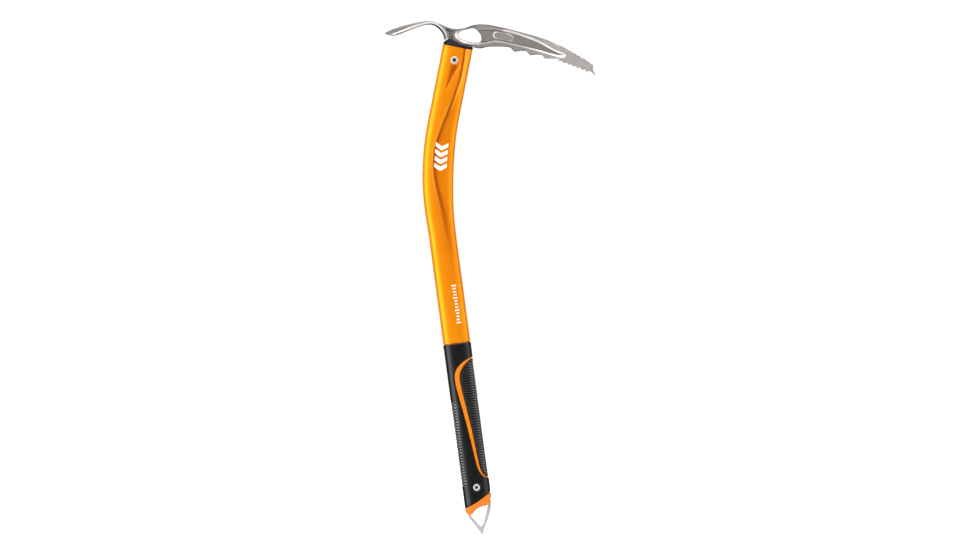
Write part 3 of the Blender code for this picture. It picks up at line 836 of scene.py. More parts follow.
FINE_TEETH = 7
FIRST_TOOTH = (191.2, 517.9)
TOOTH_STEP = (-4.95, 2.68)
TOOTH_ROOT = (-1.9, 3.2)
SHOULDER = ((19.0, 3.4), (16.6, 4.6), (9.4, 3.7), (1.9, 4.8), (-6.0, 7.1), (-11.7, 9.2))
TANG_HALF_WIDTH = 8.5
TANG_LENGTH = 36
EDGE = 1.15  # width of the bevel round the head, and at the pick's end
END_EDGE = 0.45
EDGE_SLOPE = 1.6
LEAST_SINK = 1.35  # a web's floor is at least this far below its land
EYE_BEVEL_DEPTH = 2.7
EYE_BREAK = 0.55  # width of the steep break just inside the eye


def head_outline():
    top = [
        (20.0, 597.6, C), (22.0, 599.0, C), (27.0, 596.9, S), (35.9, 591.5, S), (45.0, 587.6, S),
        (54.7, 586.7, S), (69.5, 589.1, S), (80.6, 588.1, S), (96.8, 583.2, S), (119.8, 574.1, S),
        (148.2, 561.6, S), (167.7, 549.9, S),
    ]
    notches = [
        (177.9, 542.4, C), (179.4, 540.6, C), (181.0, 540.9, C), (182.9, 538.0, C),
        (185.3, 537.6, C), (186.8, 534.6, C), (189.1, 534.4, C),
    ]
    point = [(199.7, 524.3, C), (199.1, 519.5, S), (200.7, 512.0, C), (195.0, 518.4, C)]
    fine = []
    for tooth in range(FINE_TEETH):
        x = FIRST_TOOTH[0] + tooth * TOOTH_STEP[0]
        z = FIRST_TOOTH[1] + tooth * TOOTH_STEP[1]
        fine += [(x, z, C), (x + TOOTH_ROOT[0], z + TOOTH_ROOT[1], C)]
    coarse = [
        (148.3, 539.3, S), (145.2, 539.6, C), (142.7, 544.0, C), (137.8, 545.2, S),
        (128.7, 545.7, C), (124.6, 551.2, C), (119.3, 552.1, S), (111.5, 551.9, C),
        (107.0, 557.7, C), (100.9, 559.4, S), (91.3, 560.8, S), (81.8, 561.9, S), (72.0, 561.2, S),
    ]
    corner = [(*at_top(*place), C) for place in SHOULDER]
    tang = [
        (*at_top(TANG_HALF_WIDTH, 4.0), C), (*at_top(TANG_HALF_WIDTH, -TANG_LENGTH), C),
        (*at_top(-TANG_HALF_WIDTH, -TANG_LENGTH), C), (*at_top(-TANG_HALF_WIDTH, 8.0), C),
    ]
    throat = [(35.2, 577.5, C), (34.0, 583.0, S), (30.6, 589.2, S), (25.0, 594.3, S)]
    return [*top, *notches, *point, *fine, *coarse, *corner[:3], *tang, corner[5], *throat]


HEAD_EYE = [
    (48.7, 579.6, S), (50.8, 583.1, S), (61.7, 585.2, S), (68.0, 585.3, S), (72.5, 580.8, S),
    (75.3, 573.8, S), (72.9, 568.7, S), (66.0, 568.9, S), (57.5, 571.9, S),
]
# Where the eye's bevel starts: wide on the left and below, narrow elsewhere.
EYE_RIM = [
    (44.9, 580.3, S), (48.0, 584.4, S), (60.8, 586.6, S), (69.0, 586.6, S), (73.9, 581.4, S),
    (76.8, 573.8, S), (74.2, 566.6, S), (66.3, 566.2, S), (56.6, 568.9, S), (48.4, 573.8, S),
]
# The pick's web: the edge of its floor, and where its sides start at the top.
WEB_FLOOR = [
    (71.0, 580.0, S), (84.4, 581.2, S), (103.2, 576.2, S), (121.6, 568.4, S), (139.6, 558.4, S),
    (154.0, 548.4, S), (166.4, 540.3, C), (158.3, 542.7, S), (138.6, 551.0, S), (111.0, 561.8, S),
    (92.3, 568.1, S), (71.0, 570.6, S),
]
WEB_RIM = [
    (70.0, 582.0, S), (85.0, 583.2, S), (100.0, 579.6, S), (108.2, 577.6, S), (126.5, 569.2, S),
    (142.2, 560.3, S), (158.2, 547.7, S), (169.6, 539.8, S), (168.6, 538.3, S), (164.3, 538.2, S),
    (157.4, 540.7, S), (140.5, 548.1, S), (111.0, 559.8, S), (92.0, 565.9, S), (70.0, 568.7, S),
]
ADZE_WEB = [
    (39.6, 581.0, C), (38.4, 585.2, S), (35.6, 588.6, C), (38.5, 587.0, S), (43.4, 584.6, C),
    (42.0, 581.5, S), (42.0, 578.8, C),
]
ADZE_WEB_RIM = [
    (38.6, 580.0, C), (37.4, 585.5, S), (33.0, 591.2, C), (37.8, 588.6, S), (45.2, 585.4, C),
    (43.2, 581.5, S), (43.0, 576.6, C),
]
# A plain raised oval in the web: middle, half sizes, tilt, height, and where its side is.
BOSS_AT, BOSS_SIZE, BOSS_TILT = (100.5, 571.3), (12.0, 4.6), math.radians(-20)
BOSS_HEIGHT, BOSS_SIDE = 0.75, (0.84, 1.02)


def boss_distance(points):
    """0 in the middle of the raised oval, 1 on its edge."""
    x, z = (points - np.array(BOSS_AT)).T
    along = x * math.cos(BOSS_TILT) + z * math.sin(BOSS_TILT)
    across = z * math.cos(BOSS_TILT) - x * math.sin(BOSS_TILT)
    return ((along / BOSS_SIZE[0]) ** 4 + (np.abs(across) / BOSS_SIZE[1]) ** 2.6) ** 0.3


def boss_loop(level, count=96):
    """The oval on which boss_distance has that level."""
    turns = np.linspace(0, 2 * math.pi, count, endpoint=False)
    cosine, sine, total = np.cos(turns), np.sin(turns), level ** (1 / 0.3)
    along = BOSS_SIZE[0] * np.sign(cosine) * (total * cosine**2) ** (1 / 4)
    across = BOSS_SIZE[1] * np.sign(sine) * (total * sine**2) ** (1 / 2.6)
    x = BOSS_AT[0] + along * math.cos(BOSS_TILT) - across * math.sin(BOSS_TILT)
    z = BOSS_AT[1] + along * math.sin(BOSS_TILT) + across * math.cos(BOSS_TILT)
    return np.stack([x, z], 1)


def pocket_share(points, rim, floor):
    """0 outside a pocket's rim, 1 on its floor, rising evenly down its sides."""
    to_rim, to_floor = distance(points, rim), distance(points, floor)
    share = to_rim / np.maximum(to_rim + to_floor, 1e-9)
    share = np.where(inside(points, [floor]), 1.0, share)
    return np.where(inside(points, [rim]), share, 0.0)


def head_half(points, outline, pockets, eye, eye_rim):
    """(half thickness, how far it is left as forged, painted shade) at each point."""
    x = points[:, 0]
    taper = np.clip((x - TAPER_START) / (TAPER_END - TAPER_START), 0, None)
    land = EYE_HALF * blend(1, TIP_HALF / EYE_HALF, taper)
    half = land.copy()
    forged = np.zeros(len(points))
    for rim, floor in pockets:
        share = pocket_share(points, rim, floor)
        half = np.minimum(half, blend(land, np.minimum(FLOOR_HALF, land - LEAST_SINK), share))
        forged = np.maximum(forged, ease(share, 0.9, 1.0))
    boss = 1 - ease(boss_distance(points), *BOSS_SIDE)
    half += BOSS_HEIGHT * boss * (forged > 0.5)
    forged = forged * (1 - 0.35 * boss)
    to_eye, to_rim = distance(points, eye), distance(points, eye_rim)
    bevel = np.where(inside(points, [eye_rim]), to_rim / np.maximum(to_rim + to_eye, 1e-9), 0)
    half = np.minimum(half, land - EYE_BEVEL_DEPTH * bevel)
    half -= EDGE_SLOPE * np.clip(EYE_BREAK - to_eye, 0, None)
    to_edge = distance(points, outline)
    edge = blend(EDGE, END_EDGE, ease(x, 150, 175))
    half = np.minimum(half, land - EDGE_SLOPE * land / EYE_HALF * (edge - to_edge))
    # The lands are nearly as dark as the webs round the eye, and bright towards the point.
    past_eye = ease(x, 70, 80)
    left_dark = 0.9 * (1 - past_eye) + 0.7 * past_eye * (1 - ease(x, 105, 165))
    forged = np.maximum(forged, left_dark * (bevel < 0.02))
    # Painted shade in fine dark lines: on the outline, round the floors and in the eye.
    painted_steel_shade = 0.95 * np.clip(1 - to_edge / 0.9, 0, 1)
    for _, floor in pockets:
        painted_steel_shade = np.maximum(painted_steel_shade, 0.5 * np.exp(-((distance(points, floor) / 0.45) ** 2)))
    painted_steel_shade = np.maximum(painted_steel_shade, 0.7 * np.exp(-((to_eye / 0.4) ** 2)))
    return np.maximum(half, 0.3), forged, painted_steel_shade


# The adze from the throat to its edge:
# (x, z, half width, crown, thickness, sweep back at the corners).
ADZE_STATIONS = (
    (34.5, 577.0, 4.7, 0.0, 4.2, 0.0), (33.8, 583.2, 5.1, 0.0, 4.4, 0.0),
    (30.8, 589.6, 5.8, 0.2, 4.4, 0.0), (25.6, 595.4, 7.0, 0.6, 4.0, 0.0),
    (18.6, 599.1, 8.6, 1.4, 3.2, 0.0), (9.2, 599.8, 12.6, 2.2, 2.6, 0.5),
    (-0.3, 599.3, 17.2, 3.2, 2.4, 1.0), (-9.7, 598.3, 21.4, 4.2, 2.3, 2.0),
    (-18.8, 597.0, 24.6, 5.2, 2.2, 3.4), (-27.0, 595.4, 26.0, 5.8, 2.0, 5.4),
    (-32.2, 593.9, 24.8, 5.4, 1.6, 7.0), (-35.4, 593.2, 20.0, 3.6, 0.7, 5.4),
)


def smooth_rows(rows, steps):
    """Rows of numbers with steps more between each pair, on a smooth curve."""
    rows = np.array(rows, float)
    padded = np.concatenate([2 * rows[:1] - rows[1:2], rows, 2 * rows[-1:] - rows[-2:-1]])
    found = []
    for a, b, c, d in zip(padded, padded[1:], padded[2:], padded[3:]):
        for t in np.arange(steps) / steps:
            bend = (2 * a - 5 * b + 4 * c - d) * t * t + (3 * b - a - 3 * c + d) * t**3
            found.append(0.5 * (2 * b + (c - a) * t + bend))
    return np.array([*found, rows[-1]])


def adze_mesh():
    """A crowned blade with a bevel along both of its edges, and painted shade underneath by the throat.
    """
    stations = smooth_rows(ADZE_STATIONS, 6)
    shares = np.linspace(-1, 1, 25)
    rings, painted_steel_shade = [], []
    for i, (x, z, half, crown, thick, sweep) in enumerate(stations):
        before, after = stations[max(0, i - 1)], stations[min(len(stations) - 1, i + 1)]
        along = np.array([after[0] - before[0], 0, after[1] - before[1]])
        along /= np.linalg.norm(along)
        outward = np.array([along[2], 0, -along[0]])
        throat = float(ease(x, 8, 22))
        cut, under_cut = thick * blend(0.6, 0.57, throat), thick * blend(0.1, 0.42, throat)
        upper = [((half - 0.5 * cut) * share, thick / 2) for share in shares]
        lower = [((half - under_cut) * share, -thick / 2) for share in shares[::-1]]
        below = under_cut - thick / 2
        right = [(half, thick / 2 - cut), (half, below + 0.12), (half, below)]
        left = [(-across, out) for across, out in right[::-1]]
        # Painted shade on the underside, only near the throat.
        paint_shaded = float(ease(x, 10, 16))
        painted_steel_shade += [0.0] * (len(upper) + 2) + [paint_shaded] * (len(lower) + 2) + [0.0] * 2
        section = np.array([*upper, *right, *lower, *left])
        drop = (section[:, 0] / half) ** 2
        ring = np.array([x, 0, z]) + section[:, :1] * np.array([0, 1, 0])
        ring = ring - np.outer(sweep * drop, along) + np.outer(section[:, 1] - crown * drop, outward)
        rings.append(ring)
    fields = [("forged", np.full(len(painted_steel_shade), 0.55)), ("painted_steel_shade", painted_steel_shade)]
    return loft_mesh("adze_blade", rings, fields)


def make_head(material):
    outline, eye = curve_points(head_outline(), 0.8), curve_points(HEAD_EYE, 0.7)
    eye_rim = curve_points(EYE_RIM, 0.8)
    web_rim, web_floor = curve_points(WEB_RIM, 0.9), curve_points(WEB_FLOOR, 0.9)
    adze_rim, adze_floor = curve_points(ADZE_WEB_RIM, 0.9), curve_points(ADZE_WEB, 0.9)
    loops = [outline, eye, circle_points(HEAD_RIVET_AT, SHANK_RADIUS + GAP, 32)]
    creases = [eye_rim, web_rim, web_floor, adze_rim, adze_floor, *map(boss_loop, BOSS_SIDE)]
    rows = [beside(outline, EDGE), beside(outline, EDGE / 2)]
    rows += [beside(eye, EYE_BREAK), beside(web_floor, 0.7)]
    flat, triangles = filled(loops, rows, 0.95, (0.35, 0.5), creases)
    pockets = ((web_rim, web_floor), (adze_rim, adze_floor))
    half, forged, painted_steel_shade = head_half(flat, outline, pockets, eye, eye_rim)
    plate = plate_solid("head_plate", flat, triangles, half, [("forged", forged), ("painted_steel_shade", painted_steel_shade)])
    adze = adze_mesh()
    piece = new_object("head_forging", plate.copy())
    carve(piece, [adze], "UNION")
    copy_fields(piece.data, [plate, adze], ["forged", "painted_steel_shade"])
    finish_piece(piece, material, ["head"], sharp=14)


COLLAR_PROFILE = (
    (0.3, 34.4, 20.0), (0.6, 35.0, 20.6), (2.0, 34.8, 20.1), (4.0, 33.6, 17.4), (6.5, 31.0, 13.4),
    (12.0, 26.4, 10.6),
)


def make_head_insert(material):
    """A plug in the tube's end with a domed rim, trimmed under the head."""
    inner = [size - 2 * WALL - 2 * GAP for size in UPPER]
    rings = [ring_on_shaft(SHAFT_TOP + above, *inner) for above in (-28, GAP)]
    for above, width, depth in smooth_rows(COLLAR_PROFILE, 4):
        rings.append(ring_on_shaft(SHAFT_TOP + above, width, depth))
    piece = new_object("head_collar", loft_mesh("head_collar", rings))
    under = [(*at_top(across, above - GAP - 0.05), C) for across, above in SHOULDER]
    left = [(*at_top(-14.6, 5.6), S), (*at_top(-16.6, 3.9), S), (*at_top(-22, 1.4), C)]
    above = [(*at_top(-22, 30), C), (*at_top(22, 30), C), (*at_top(22, 2.6), C)]
    trim = prism_mesh("collar_trim", [*under, *left, *above], 20)
    half = TANG_HALF_WIDTH + GAP
    corners = ((half, -60), (half, 30), (-half, 30), (-half, -60))
    slot = [(*at_top(across, height), C) for across, height in corners]
    carve(piece, [trim, prism_mesh("tang_slot", slot, EYE_HALF + GAP, 100)])
    round_edges(piece, 0.5)
    finish_piece(piece, material, ["head_insert"])


# ---------------------------------------------------------------- rivets


def make_rivet(name, node, place, radius, seat, dimple, material, segments=64):
    """A turned rivet: rounded head, dimpled middle, plain shank."""
    top = seat + RIVET_HEAD_HEIGHT
    upper = [(0.05, top - 1.05), (dimple * 0.5, top - 1.1), (dimple * 0.86, top - 1.0)]
    upper += [(dimple * 0.97, top - 0.7), (dimple, top - 0.2), (dimple + 0.35, top)]
    for turn in np.linspace(0, math.pi / 2, 6):
        upper.append((radius - 0.8 + 0.8 * math.sin(turn), top - 0.8 + 0.8 * math.cos(turn)))
    upper += [(radius, seat), (SHANK_RADIUS, seat)]
    profile = upper + [(across, -height) for across, height in reversed(upper)]
    rings = []
    for across, height in profile:
        loop = circle_points(place, across, segments)
        rings.append(np.stack([loop[:, 0], np.full(segments, -height), loop[:, 1]], 1))
    mesh = loft_mesh(name, rings)
    # Painted shade: the dimple is marked dark.
    painted_recess_shade = mesh.attributes.new("painted_recess_shade", "FLOAT", "POINT")
    for i, vertex in enumerate(mesh.vertices):
        across = math.hypot(vertex.co.x / MM - place[0], vertex.co.z / MM - place[1])
        painted_recess_shade.data[i].value = float(across < dimple - 0.03 and abs(vertex.co.y) > seat * MM - MM)
    finish_piece(new_object(name, mesh), material, [node], sharp=50)


# ---------------------------------------------------------------- grip

STRIPE = (
    (19.0, 207.4, 1.6), (12.0, 205.4, 2.4), (5.6, 201.7, 3.6), (0.2, 197.0, 5.0),
    (-3.6, 191.5, 6.0), (-5.1, 185.0, 6.2), (-4.9, 177.0, 6.1), (-3.2, 162.0, 5.6),
    (-0.8, 144.0, 5.0), (1.6, 125.0, 4.6), (3.6, 104.0, 4.0), (5.2, 87.0, 3.4), (7.0, 76.5, 2.8),
    (10.2, 70.0, 2.1), (14.2, 67.3, 1.7), (19.0, 67.4, 1.6),
)
PAD_RIB_PITCH = 3.0
REAR_RIB_PITCH = 3.3
REAR_RIBS = (59.0, 158.0)
GROOVE_DEPTH = 1.2
RIM_ROUNDING, END_ROUNDING = 0.9, 0.6  # radii of the rubber beside other pieces and at its ends


def unrolled_oval(width, depth, count=4001):
    """Half an oval from its +x end: distance round it, x, y and the normal's x and y."""
    turns = np.linspace(0, math.pi, count)
    x, y = squared(width, np.cos(turns)), squared(depth, np.sin(turns))
    round_it = np.concatenate([[0], np.cumsum(np.hypot(np.diff(x), np.diff(y)))])
    rising = round_it + 1e-9 * np.arange(count)
    ahead_x, ahead_y = np.gradient(x, rising), np.gradient(y, rising)
    length = np.maximum(np.hypot(ahead_x, ahead_y), 1e-9)
    return round_it, x, y, ahead_y / length, -ahead_x / length


GRIP_ROUND = unrolled_oval(*GRIP_SIZE)
HALF_ROUND = float(GRIP_ROUND[0][-1])


def wrap(flat, height):
    """Where flat (distance round the grip, z) points go on it, raised by a height."""
    round_it, x, y, normal_x, normal_y = GRIP_ROUND
    place = np.abs(flat[:, 0])
    side = np.where(flat[:, 0] < 0, -1.0, 1.0)
    across = np.interp(place, round_it, x) + np.interp(place, round_it, normal_x) * height
    out = np.interp(place, round_it, y) + np.interp(place, round_it, normal_y) * height
    out = np.where((place < 1e-6) | (place > HALF_ROUND - 1e-6), 0, out)
    return np.stack([across, side * out, flat[:, 1]], 1)


def round_at(x):
    """Distance round the grip from its front to a place x on its side."""
    return np.interp(-np.asarray(x, float), -GRIP_ROUND[1], GRIP_ROUND[0])


def stripe_loop(side, spread, step=0.8):
    """An edge of the stripe, all the way round: side 1 is outer, -1 is inner."""
    edge = []
    for i, (x, z, width) in enumerate(STRIPE):
        before, after = STRIPE[max(0, i - 1)], STRIPE[min(len(STRIPE) - 1, i + 1)]
        along = np.array([after[0] - before[0], after[1] - before[1]])
        along /= np.linalg.norm(along)
        offset = side * (width / 2 + spread)
        edge.append((x + along[1] * offset, z - along[0] * offset, S))
    line = curve_points(edge, step, closed=False)
    line = line[line[:, 0] < GRIP_SIZE[0] / 2 - 0.35]
    near = np.stack([-round_at(line[:, 0]), line[:, 1]], 1)
    # The line crosses the front centre level, and comes back up the far side.
    top, bottom = near[0, 1], near[-1, 1]
    steps = np.linspace(0, 1, 6)[1:-1]
    low = [(near[-1, 0] * (1 - t), bottom) for t in steps] + [(0.0, bottom)]
    high = [(near[0, 0] * (1 - t), top) for t in steps] + [(0.0, top)]
    near = np.concatenate([np.array(high)[::-1], near, np.array(low)])
    far = near[1:-1][::-1] * np.array([-1, 1])
    return np.concatenate([near, far])


def rounded_drop(gap, radius):
    """How far a rounded edge of that radius lies below its surface, at a gap from its end."""
    gap = np.clip(gap, 0, radius)
    return radius - np.sqrt(np.maximum(radius**2 - (radius - gap) ** 2, 0))


def rounding(points, loops):
    """How far the rubber drops towards the loops."""
    return np.max([rounded_drop(distance(points, loop), RIM_ROUNDING) for loop in loops], 0)


def rib_rows(low, high, pitch, shares):
    """Heights of the mesh rows that a run of ribs needs."""
    count = int((high - low) / pitch)
    return [low + (rib + share) * pitch for rib in range(count + 1) for share in shares]


def grid_of(columns, rows):
    across, up = np.meshgrid(columns, rows)
    return np.stack([across.ravel(), up.ravel()], 1)


def groove(height, start, pitch, share):
    """1 in the grooves of a run of ribs and 0 on the ribs, with sloping sides."""
    place = ((height - start) / pitch) % 1.0
    middle = np.abs(place - 0.5)
    return 1 - ease(middle, share / 2 - 0.08, share / 2 + 0.08)


def grip_piece(name, loops, grid, height, node, material, seam=False):
    """A rubber skin between loops on the unrolled grip, with height's rise and a painted highlight."""
    grid = thin_out(grid[inside(grid, loops)], np.concatenate(loops), 0.32)
    flat, triangles = triangulate(loops, grid)
    rise, painted_rib_highlight = height(flat)
    inner = wrap(flat, np.full(len(flat), -GRIP_SKIN))
    open_at = np.abs(flat[:, 0]) > HALF_ROUND - 1e-4 if seam else None
    mesh = sheet_solid(name, triangles, wrap(flat, rise), inner, [("painted_rib_highlight", painted_rib_highlight)], open_at)
    finish_piece(new_object(name, mesh), material, [node], sharp=45)


def make_sleeve(material):
    """The black skin, with its foot, lip, rear ribs and a window, welded along its rear."""
    around = np.linspace(-HALF_ROUND, HALF_ROUND, 97)
    foot = np.stack([around, slanted_height(np.interp(np.abs(around), *GRIP_ROUND[:2]))], 1)
    sides = np.arange(36.0, GRIP_TOP, 0.825)
    sides = sides[(sides > foot[-1, 1] + 0.5) & (sides < GRIP_TOP - 0.5)]
    top = grid_of(around[::-1], [GRIP_TOP])
    outline = [foot, grid_of([HALF_ROUND], sides), top, grid_of([-HALF_ROUND], sides[::-1])]
    window = stripe_loop(1, GAP / 2)
    ring = circle_points(SPIKE_RIVET_AT, RIVET_RECESS_RADIUS - 0.5, 40)
    holes = [np.stack([side * round_at(ring[:, 0]), ring[:, 1]], 1) for side in (-1, 1)]
    low, high = REAR_RIBS
    rear = np.arange(0.8 - HALF_ROUND, 14 - HALF_ROUND, 0.8)
    fine_rows = rib_rows(low, high, REAR_RIB_PITCH, (0, 0.22, 0.3, 0.38, 0.5, 0.62, 0.7, 0.78))
    plain_rows = np.concatenate([np.arange(37, low, 1.2), np.arange(high + 1.2, GRIP_TOP, 1.2)])
    grids = [
        grid_of(rear, fine_rows),
        grid_of(-rear, fine_rows),
        grid_of(np.arange(14.4 - HALF_ROUND, HALF_ROUND - 14, 1.3), np.arange(low, high, 1.3)),
        grid_of(np.arange(1.2 - HALF_ROUND, HALF_ROUND - 1, 1.2), plain_rows),
        beside(window, 0.4),
        beside(window, 0.9),
    ]

    def height(flat):
        up, from_rear = flat[:, 1], HALF_ROUND - np.abs(flat[:, 0])
        grooves = groove(up, low, REAR_RIB_PITCH, 0.42)
        held = ease(up, low - 0.5, low + 1) * (1 - ease(up, high - 1, high + 0.5))
        length = 12.8 + 0.8 * np.sin(up * 0.05)
        held = held * (1 - ease(from_rear, length - 1.6, length))
        rise = -GROOVE_DEPTH * grooves * held - rounding(flat, [window, *holes])
        rise += GRIP_LIP * ease(GRIP_LIP_HEIGHT - (GRIP_TOP - up), 0, 0.6)
        to_end = np.minimum(GRIP_TOP - up, up - np.interp(flat[:, 0], *foot.T))
        rise -= rounded_drop(to_end, END_ROUNDING)
        # The rear rib tops get a painted highlight, except near the rear.
        return rise, 0.8 * held * (1 - grooves) * ease(from_rear, 5, 9)

    loops = [np.concatenate(outline), window, *holes]
    grid = np.concatenate(grids)
    grip_piece("grip_sleeve_skin", loops, grid, height, "grip_sleeve", material, True)


def make_stripe(material):
    """The orange band between the sleeve and the pad."""
    outer, inner = stripe_loop(1, -GAP / 2), stripe_loop(-1, -GAP / 2)
    rows = [beside(outer, gap) for gap in (0.45, 0.9, 1.6, 2.3)]
    rows += [beside(inner, gap) for gap in (0.45, 0.9)]

    def height(flat):
        return 0.15 - rounding(flat, [outer, inner]), np.zeros(len(flat))

    grid = thin_rows(np.concatenate(rows), 0.35)
    grip_piece("grip_stripe_band", [outer, inner], grid, height, "grip_stripe", material)


def make_pad(material):
    """The black front pad, with a painted grey highlight on its ribs, brightest some way in from the
    front.
    """
    edge = stripe_loop(-1, GAP / 2)
    low, high = edge[:, 1].min(), edge[:, 1].max()
    shares = (0, 0.12, 0.2, 0.28, 0.36, 0.5, 0.64, 0.72, 0.8, 0.88)
    ribs = grid_of(np.arange(-24.0, 24.1, 1.0), rib_rows(low, high, PAD_RIB_PITCH, shares))
    grid = np.concatenate([ribs, beside(edge, 0.4), beside(edge, 1.2)])

    def height(flat):
        slots = groove(flat[:, 1], low, PAD_RIB_PITCH, 0.58)
        to_front = np.abs(flat[:, 0])
        held = ease(distance(flat, edge), 1.0, 2.4)
        cut = slots * held * (1 - 0.25 * (1 - ease(to_front, 8.0, 13.0)))
        # A painted highlight on the rib tops, brightest about 8.5 mm from the front.
        rib_ends = np.exp(-(((to_front - 8.5) / 3.0) ** 2))
        rise = -GROOVE_DEPTH * cut - rounding(flat, [edge])
        return rise, (1 - slots) * held * (0.16 + 0.7 * rib_ends)

    grip_piece("grip_pad_skin", [edge], grid, height, "grip_pad", material)


# ---------------------------------------------------------------- end plug and spike

PLUG_TOP = 68.0
PLUG_LOWER_EDGE = [
    (-20.0, 30.0, C), (-15.4, 28.6, C), (-12.0, 25.9, C), (-8.8, 26.4, S), (-5.0, 29.6, S),
    (-0.3, 32.6, S), (4.0, 33.7, S), (9.3, 34.1, C), (12.5, 37.6, C), (15.4, 42.6, C),
    (20.0, 45.0, C), (20.0, 0.0, C), (-20.0, 0.0, C),
]
SPIKE_TANG_HALF_WIDTH = 9.0
SPIKE_TOP = 73.0


def spike_outline(spread):
    """The plate's outline, grown inside the plug to give its slot."""
    half = SPIKE_TANG_HALF_WIDTH + spread
    return [
        (-SPIKE_TIP_HALF, 0.0, C), (SPIKE_TIP_HALF, 0.0, C), (3.1, 7.2, S), (7.5, 15.4, S),
        (12.2, 25.6, S), (14.6 + spread / 2, 33.3, S), (15.3 + spread, 39.4, C),
        (14.9 + spread, 41.0 + spread, C), (half, 42.6 + spread, C), (half, SPIKE_TOP + spread, C),
        (-half, SPIKE_TOP + spread, C), (-half, 31.4 + spread, C),
        (-14.6 - spread, 29.4 + spread, C), (-14.7 - spread, 26.9, C),
        (-13.1 - spread / 2, 22.2, S), (-9.2, 16.0, S), (-4.9, 8.3, S),
    ]


SPIKE_EYE = [
    (-9.9, 24.9, S), (-6.1, 19.2, S), (-2.2, 13.4, S), (0.2, 12.0, S), (2.0, 14.0, S),
    (4.8, 19.8, S), (8.2, 27.4, S), (10.4, 34.6, C), (9.0, 38.0, C), (-7.6, 29.8, C),
]
PLUG_PROFILE = (
    (0.3, 31.6, 22.2), (0.7, 32.2, 22.8), (2.5, 32.1, 22.5), (5.5, 31.8, 21.0), (8.5, 31.5, 18.2),
    (12.0, 31.1, 14.6), (18.0, 30.6, 11.0),
)


def make_end_plug(material):
    inner = [size - 2 * WALL - 2 * GAP for size in GRIP_TUBE]
    rings = [ring_on_shaft(PLUG_TOP, *inner), slanted_ring(*inner, 0.3)]
    for below, width, depth in smooth_rows(PLUG_PROFILE, 4):
        rings.append(slanted_ring(width, depth, below))
    piece = new_object("end_plug_body", loft_mesh("end_plug_body", rings))
    edge = prism_mesh("plug_lower_cut", PLUG_LOWER_EDGE, 20)
    slot = prism_mesh("spike_slot", spike_outline(GAP), SPIKE_HALF + GAP)
    hole = pin_mesh("plug_rivet_hole", SPIKE_RIVET_AT, SHANK_RADIUS + GAP, 30)
    carve(piece, [edge, slot, hole])
    round_edges(piece, 0.45)
    finish_piece(piece, material, ["end_plug"])


def make_spike(material):
    outline, eye = curve_points(spike_outline(0), 0.8), curve_points(SPIKE_EYE, 0.8)
    loops = [outline, eye, circle_points(SPIKE_RIVET_AT, SHANK_RADIUS + GAP, 32)]
    rows = [beside(outline, SPIKE_EDGE), beside(eye, SPIKE_EDGE), beside(outline, 1.6)]
    flat, triangles = filled(loops, rows, 1.0, (0.3, 0.45))
    rise = np.clip(flat[:, 1] / SPIKE_BEVEL_HEIGHT, 0, 1)
    land = SPIKE_HALF * blend(SPIKE_TIP_HALF / SPIKE_HALF, 1, rise)
    gap = np.minimum(distance(flat, outline), distance(flat, eye))
    half = np.minimum(land, land - np.minimum(SPIKE_EDGE, land * 0.5) + gap)
    piece = new_object("spike_plate", plate_solid("spike_plate", flat, triangles, half))
    finish_piece(piece, material, ["spike"], 28)


# ---------------------------------------------------------------- studio

CAMERA_DISTANCE = 12.0
CAMERA_TARGET = (0.04745, 0.0, 0.2990)
VIEW_WIDTH = 1.1359  # metres across the picture, at the axe
SENSOR = 36.0
CAMERA_ROLL = math.radians(7.62)


def make_camera():
    data = bpy.data.cameras.new("camera")
    data.sensor_width = SENSOR
    data.lens = SENSOR * CAMERA_DISTANCE / VIEW_WIDTH
    data.clip_end = 100
    camera = bpy.data.objects.new("camera", data)
    x, _, z = CAMERA_TARGET
    camera.location = (x, -CAMERA_DISTANCE, z)
    turn = Matrix.Rotation(CAMERA_ROLL, 4, "Y") @ Matrix.Rotation(math.radians(90), 4, "X")
    camera.rotation_euler = turn.to_euler()
    bpy.context.scene.collection.objects.link(camera)
    bpy.context.scene.camera = camera


def make_floor(radii=(0.5, 2.0, 6.0, 14.0), count=96):
    """A wide pale disc that the axe stands on, with its radii in metres."""
    circles = np.concatenate([circle_points((0, 0), radius, count) for radius in radii]) / MM
    points = np.append(circles, np.zeros((len(circles), 1)), 1)
    faces = [list(range(count)), *[face[::-1] for face in ring_faces(len(radii), count)]]
    floor = new_object("studio_floor", mesh_of("studio_floor", points, faces))
    floor.data.materials.append(studio_floor())
    floor.visible_glossy = False


def area_light(name, place, target, size, power):
    data = bpy.data.lights.new(name, "AREA")
    data.shape = "RECTANGLE"
    data.size, data.size_y = size
    data.energy = power
    lamp = bpy.data.objects.new(name, data)
    lamp.location = place
    lamp.rotation_euler = (Vector(target) - Vector(place)).to_track_quat("-Z", "Y").to_euler()
    bpy.context.scene.collection.objects.link(lamp)


def ramp(tree, factor, stops):
    """A colour ramp over grey levels, from (place, level) pairs."""
    made = add_node(tree, "ShaderNodeValToRGB", Fac=factor)
    elements = made.color_ramp.elements
    while len(elements) < len(stops):
        elements.new(0.5)
    for element, (place, level) in zip(elements, stops):
        element.position = place
        element.color = (level, level, level, 1)
    made.color_ramp.interpolation = "EASE"
    return made.outputs["Color"]


# The tent's brightness from behind the axe, at 0, to behind the camera, at 1.
TENT = ((0, 0.13), (0.08, 0.12), (0.18, 0.03), (0.45, 0.05), (0.6, 1), (0.76, 1), (0.9, 0.24), (1, 0.11))


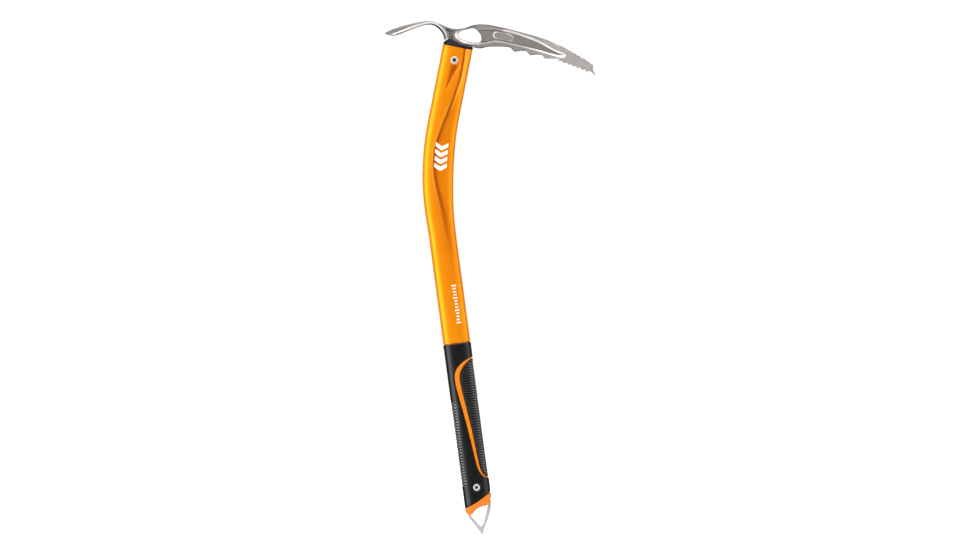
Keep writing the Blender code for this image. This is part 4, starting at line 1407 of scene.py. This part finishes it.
def make_studio():
    """A white tent, brightest to the sides and a little in front of them, and four soft boxes."""
    world = bpy.data.worlds.new("studio")
    bpy.context.scene.world = world
    world.use_nodes = True
    tree = world.node_tree
    tree.nodes.clear()
    direction = add_node(tree, "ShaderNodeTexCoord").outputs["Generated"]
    parts = add_node(tree, "ShaderNodeSeparateXYZ", Vector=direction)
    x, y, z = (parts.outputs[axis] for axis in "XYZ")
    depth = remap(tree, y, 1, 0, -1, 1)
    tent = ramp(tree, depth, TENT)
    sideways = remap(tree, x, 1.25, 0.72, -1, 1)
    height = remap(tree, z, 0.9, 1.2, -0.4, 1)
    light = math_node(tree, "MULTIPLY", tent, math_node(tree, "MULTIPLY", sideways, height))
    tent_light = add_node(tree, "ShaderNodeBackground", Color=light, Strength=2.2)
    seen = add_node(tree, "ShaderNodeBackground", Color=(1, 1, 1, 1), Strength=1.05)
    is_camera = add_node(tree, "ShaderNodeLightPath").outputs["Is Camera Ray"]
    mixed = tree.nodes.new("ShaderNodeMixShader")
    tree.links.new(is_camera, mixed.inputs[0])
    tree.links.new(tent_light.outputs[0], mixed.inputs[1])
    tree.links.new(seen.outputs[0], mixed.inputs[2])
    output = tree.nodes.new("ShaderNodeOutputWorld")
    tree.links.new(mixed.outputs[0], output.inputs["Surface"])
    middle = (0.05, 0, 0.32)
    area_light("left_box", (-2.0, -1.2, 0.45), middle, (1.5, 2.4), 20)
    area_light("right_fill", (2.5, -0.4, 0.5), middle, (0.7, 2.0), 5)
    area_light("top_box", (0.1, -1.3, 2.6), middle, (2.4, 1.2), 15)
    area_light("back_fill", (0.9, 2.2, 1.1), middle, (2.0, 2.0), 8)
    view = bpy.context.scene.view_settings
    view.view_transform = "Standard"
    view.look = "None"


# ---------------------------------------------------------------- build

make_camera()
make_floor()
make_studio()

make_shaft(orange_anodised())
ink = white_ink()
marks = [chevron(2.6, 427.0 + 8.0 * i, 7.2, 4.4, 4.6) for i in range(4)]
print_on_shaft("shaft_chevrons", marks, ink)
ticks = [bar(5.4, 248.4 + 3.6 * i, 5.2 if i % 4 == 0 else 3.4, 1.3) for i in range(13)]
print_on_shaft("shaft_ticks", ticks, ink)
make_head(forged_steel())
make_head_insert(black_plastic())
black = black_rubber()
make_sleeve(black)
make_stripe(orange_rubber())
make_pad(black)
make_end_plug(orange_plastic())
make_spike(stainless_steel())
steel = rivet_steel()
make_rivet("head_rivet_turned", "head_rivet", HEAD_RIVET_AT, 4.4, UPPER[1] / 2 + GAP, 2.3, steel)
make_rivet("spike_rivet_turned", "spike_rivet", SPIKE_RIVET_AT, 3.9, GRIP_TUBE[1] / 2 + GAP, 2.0, steel)
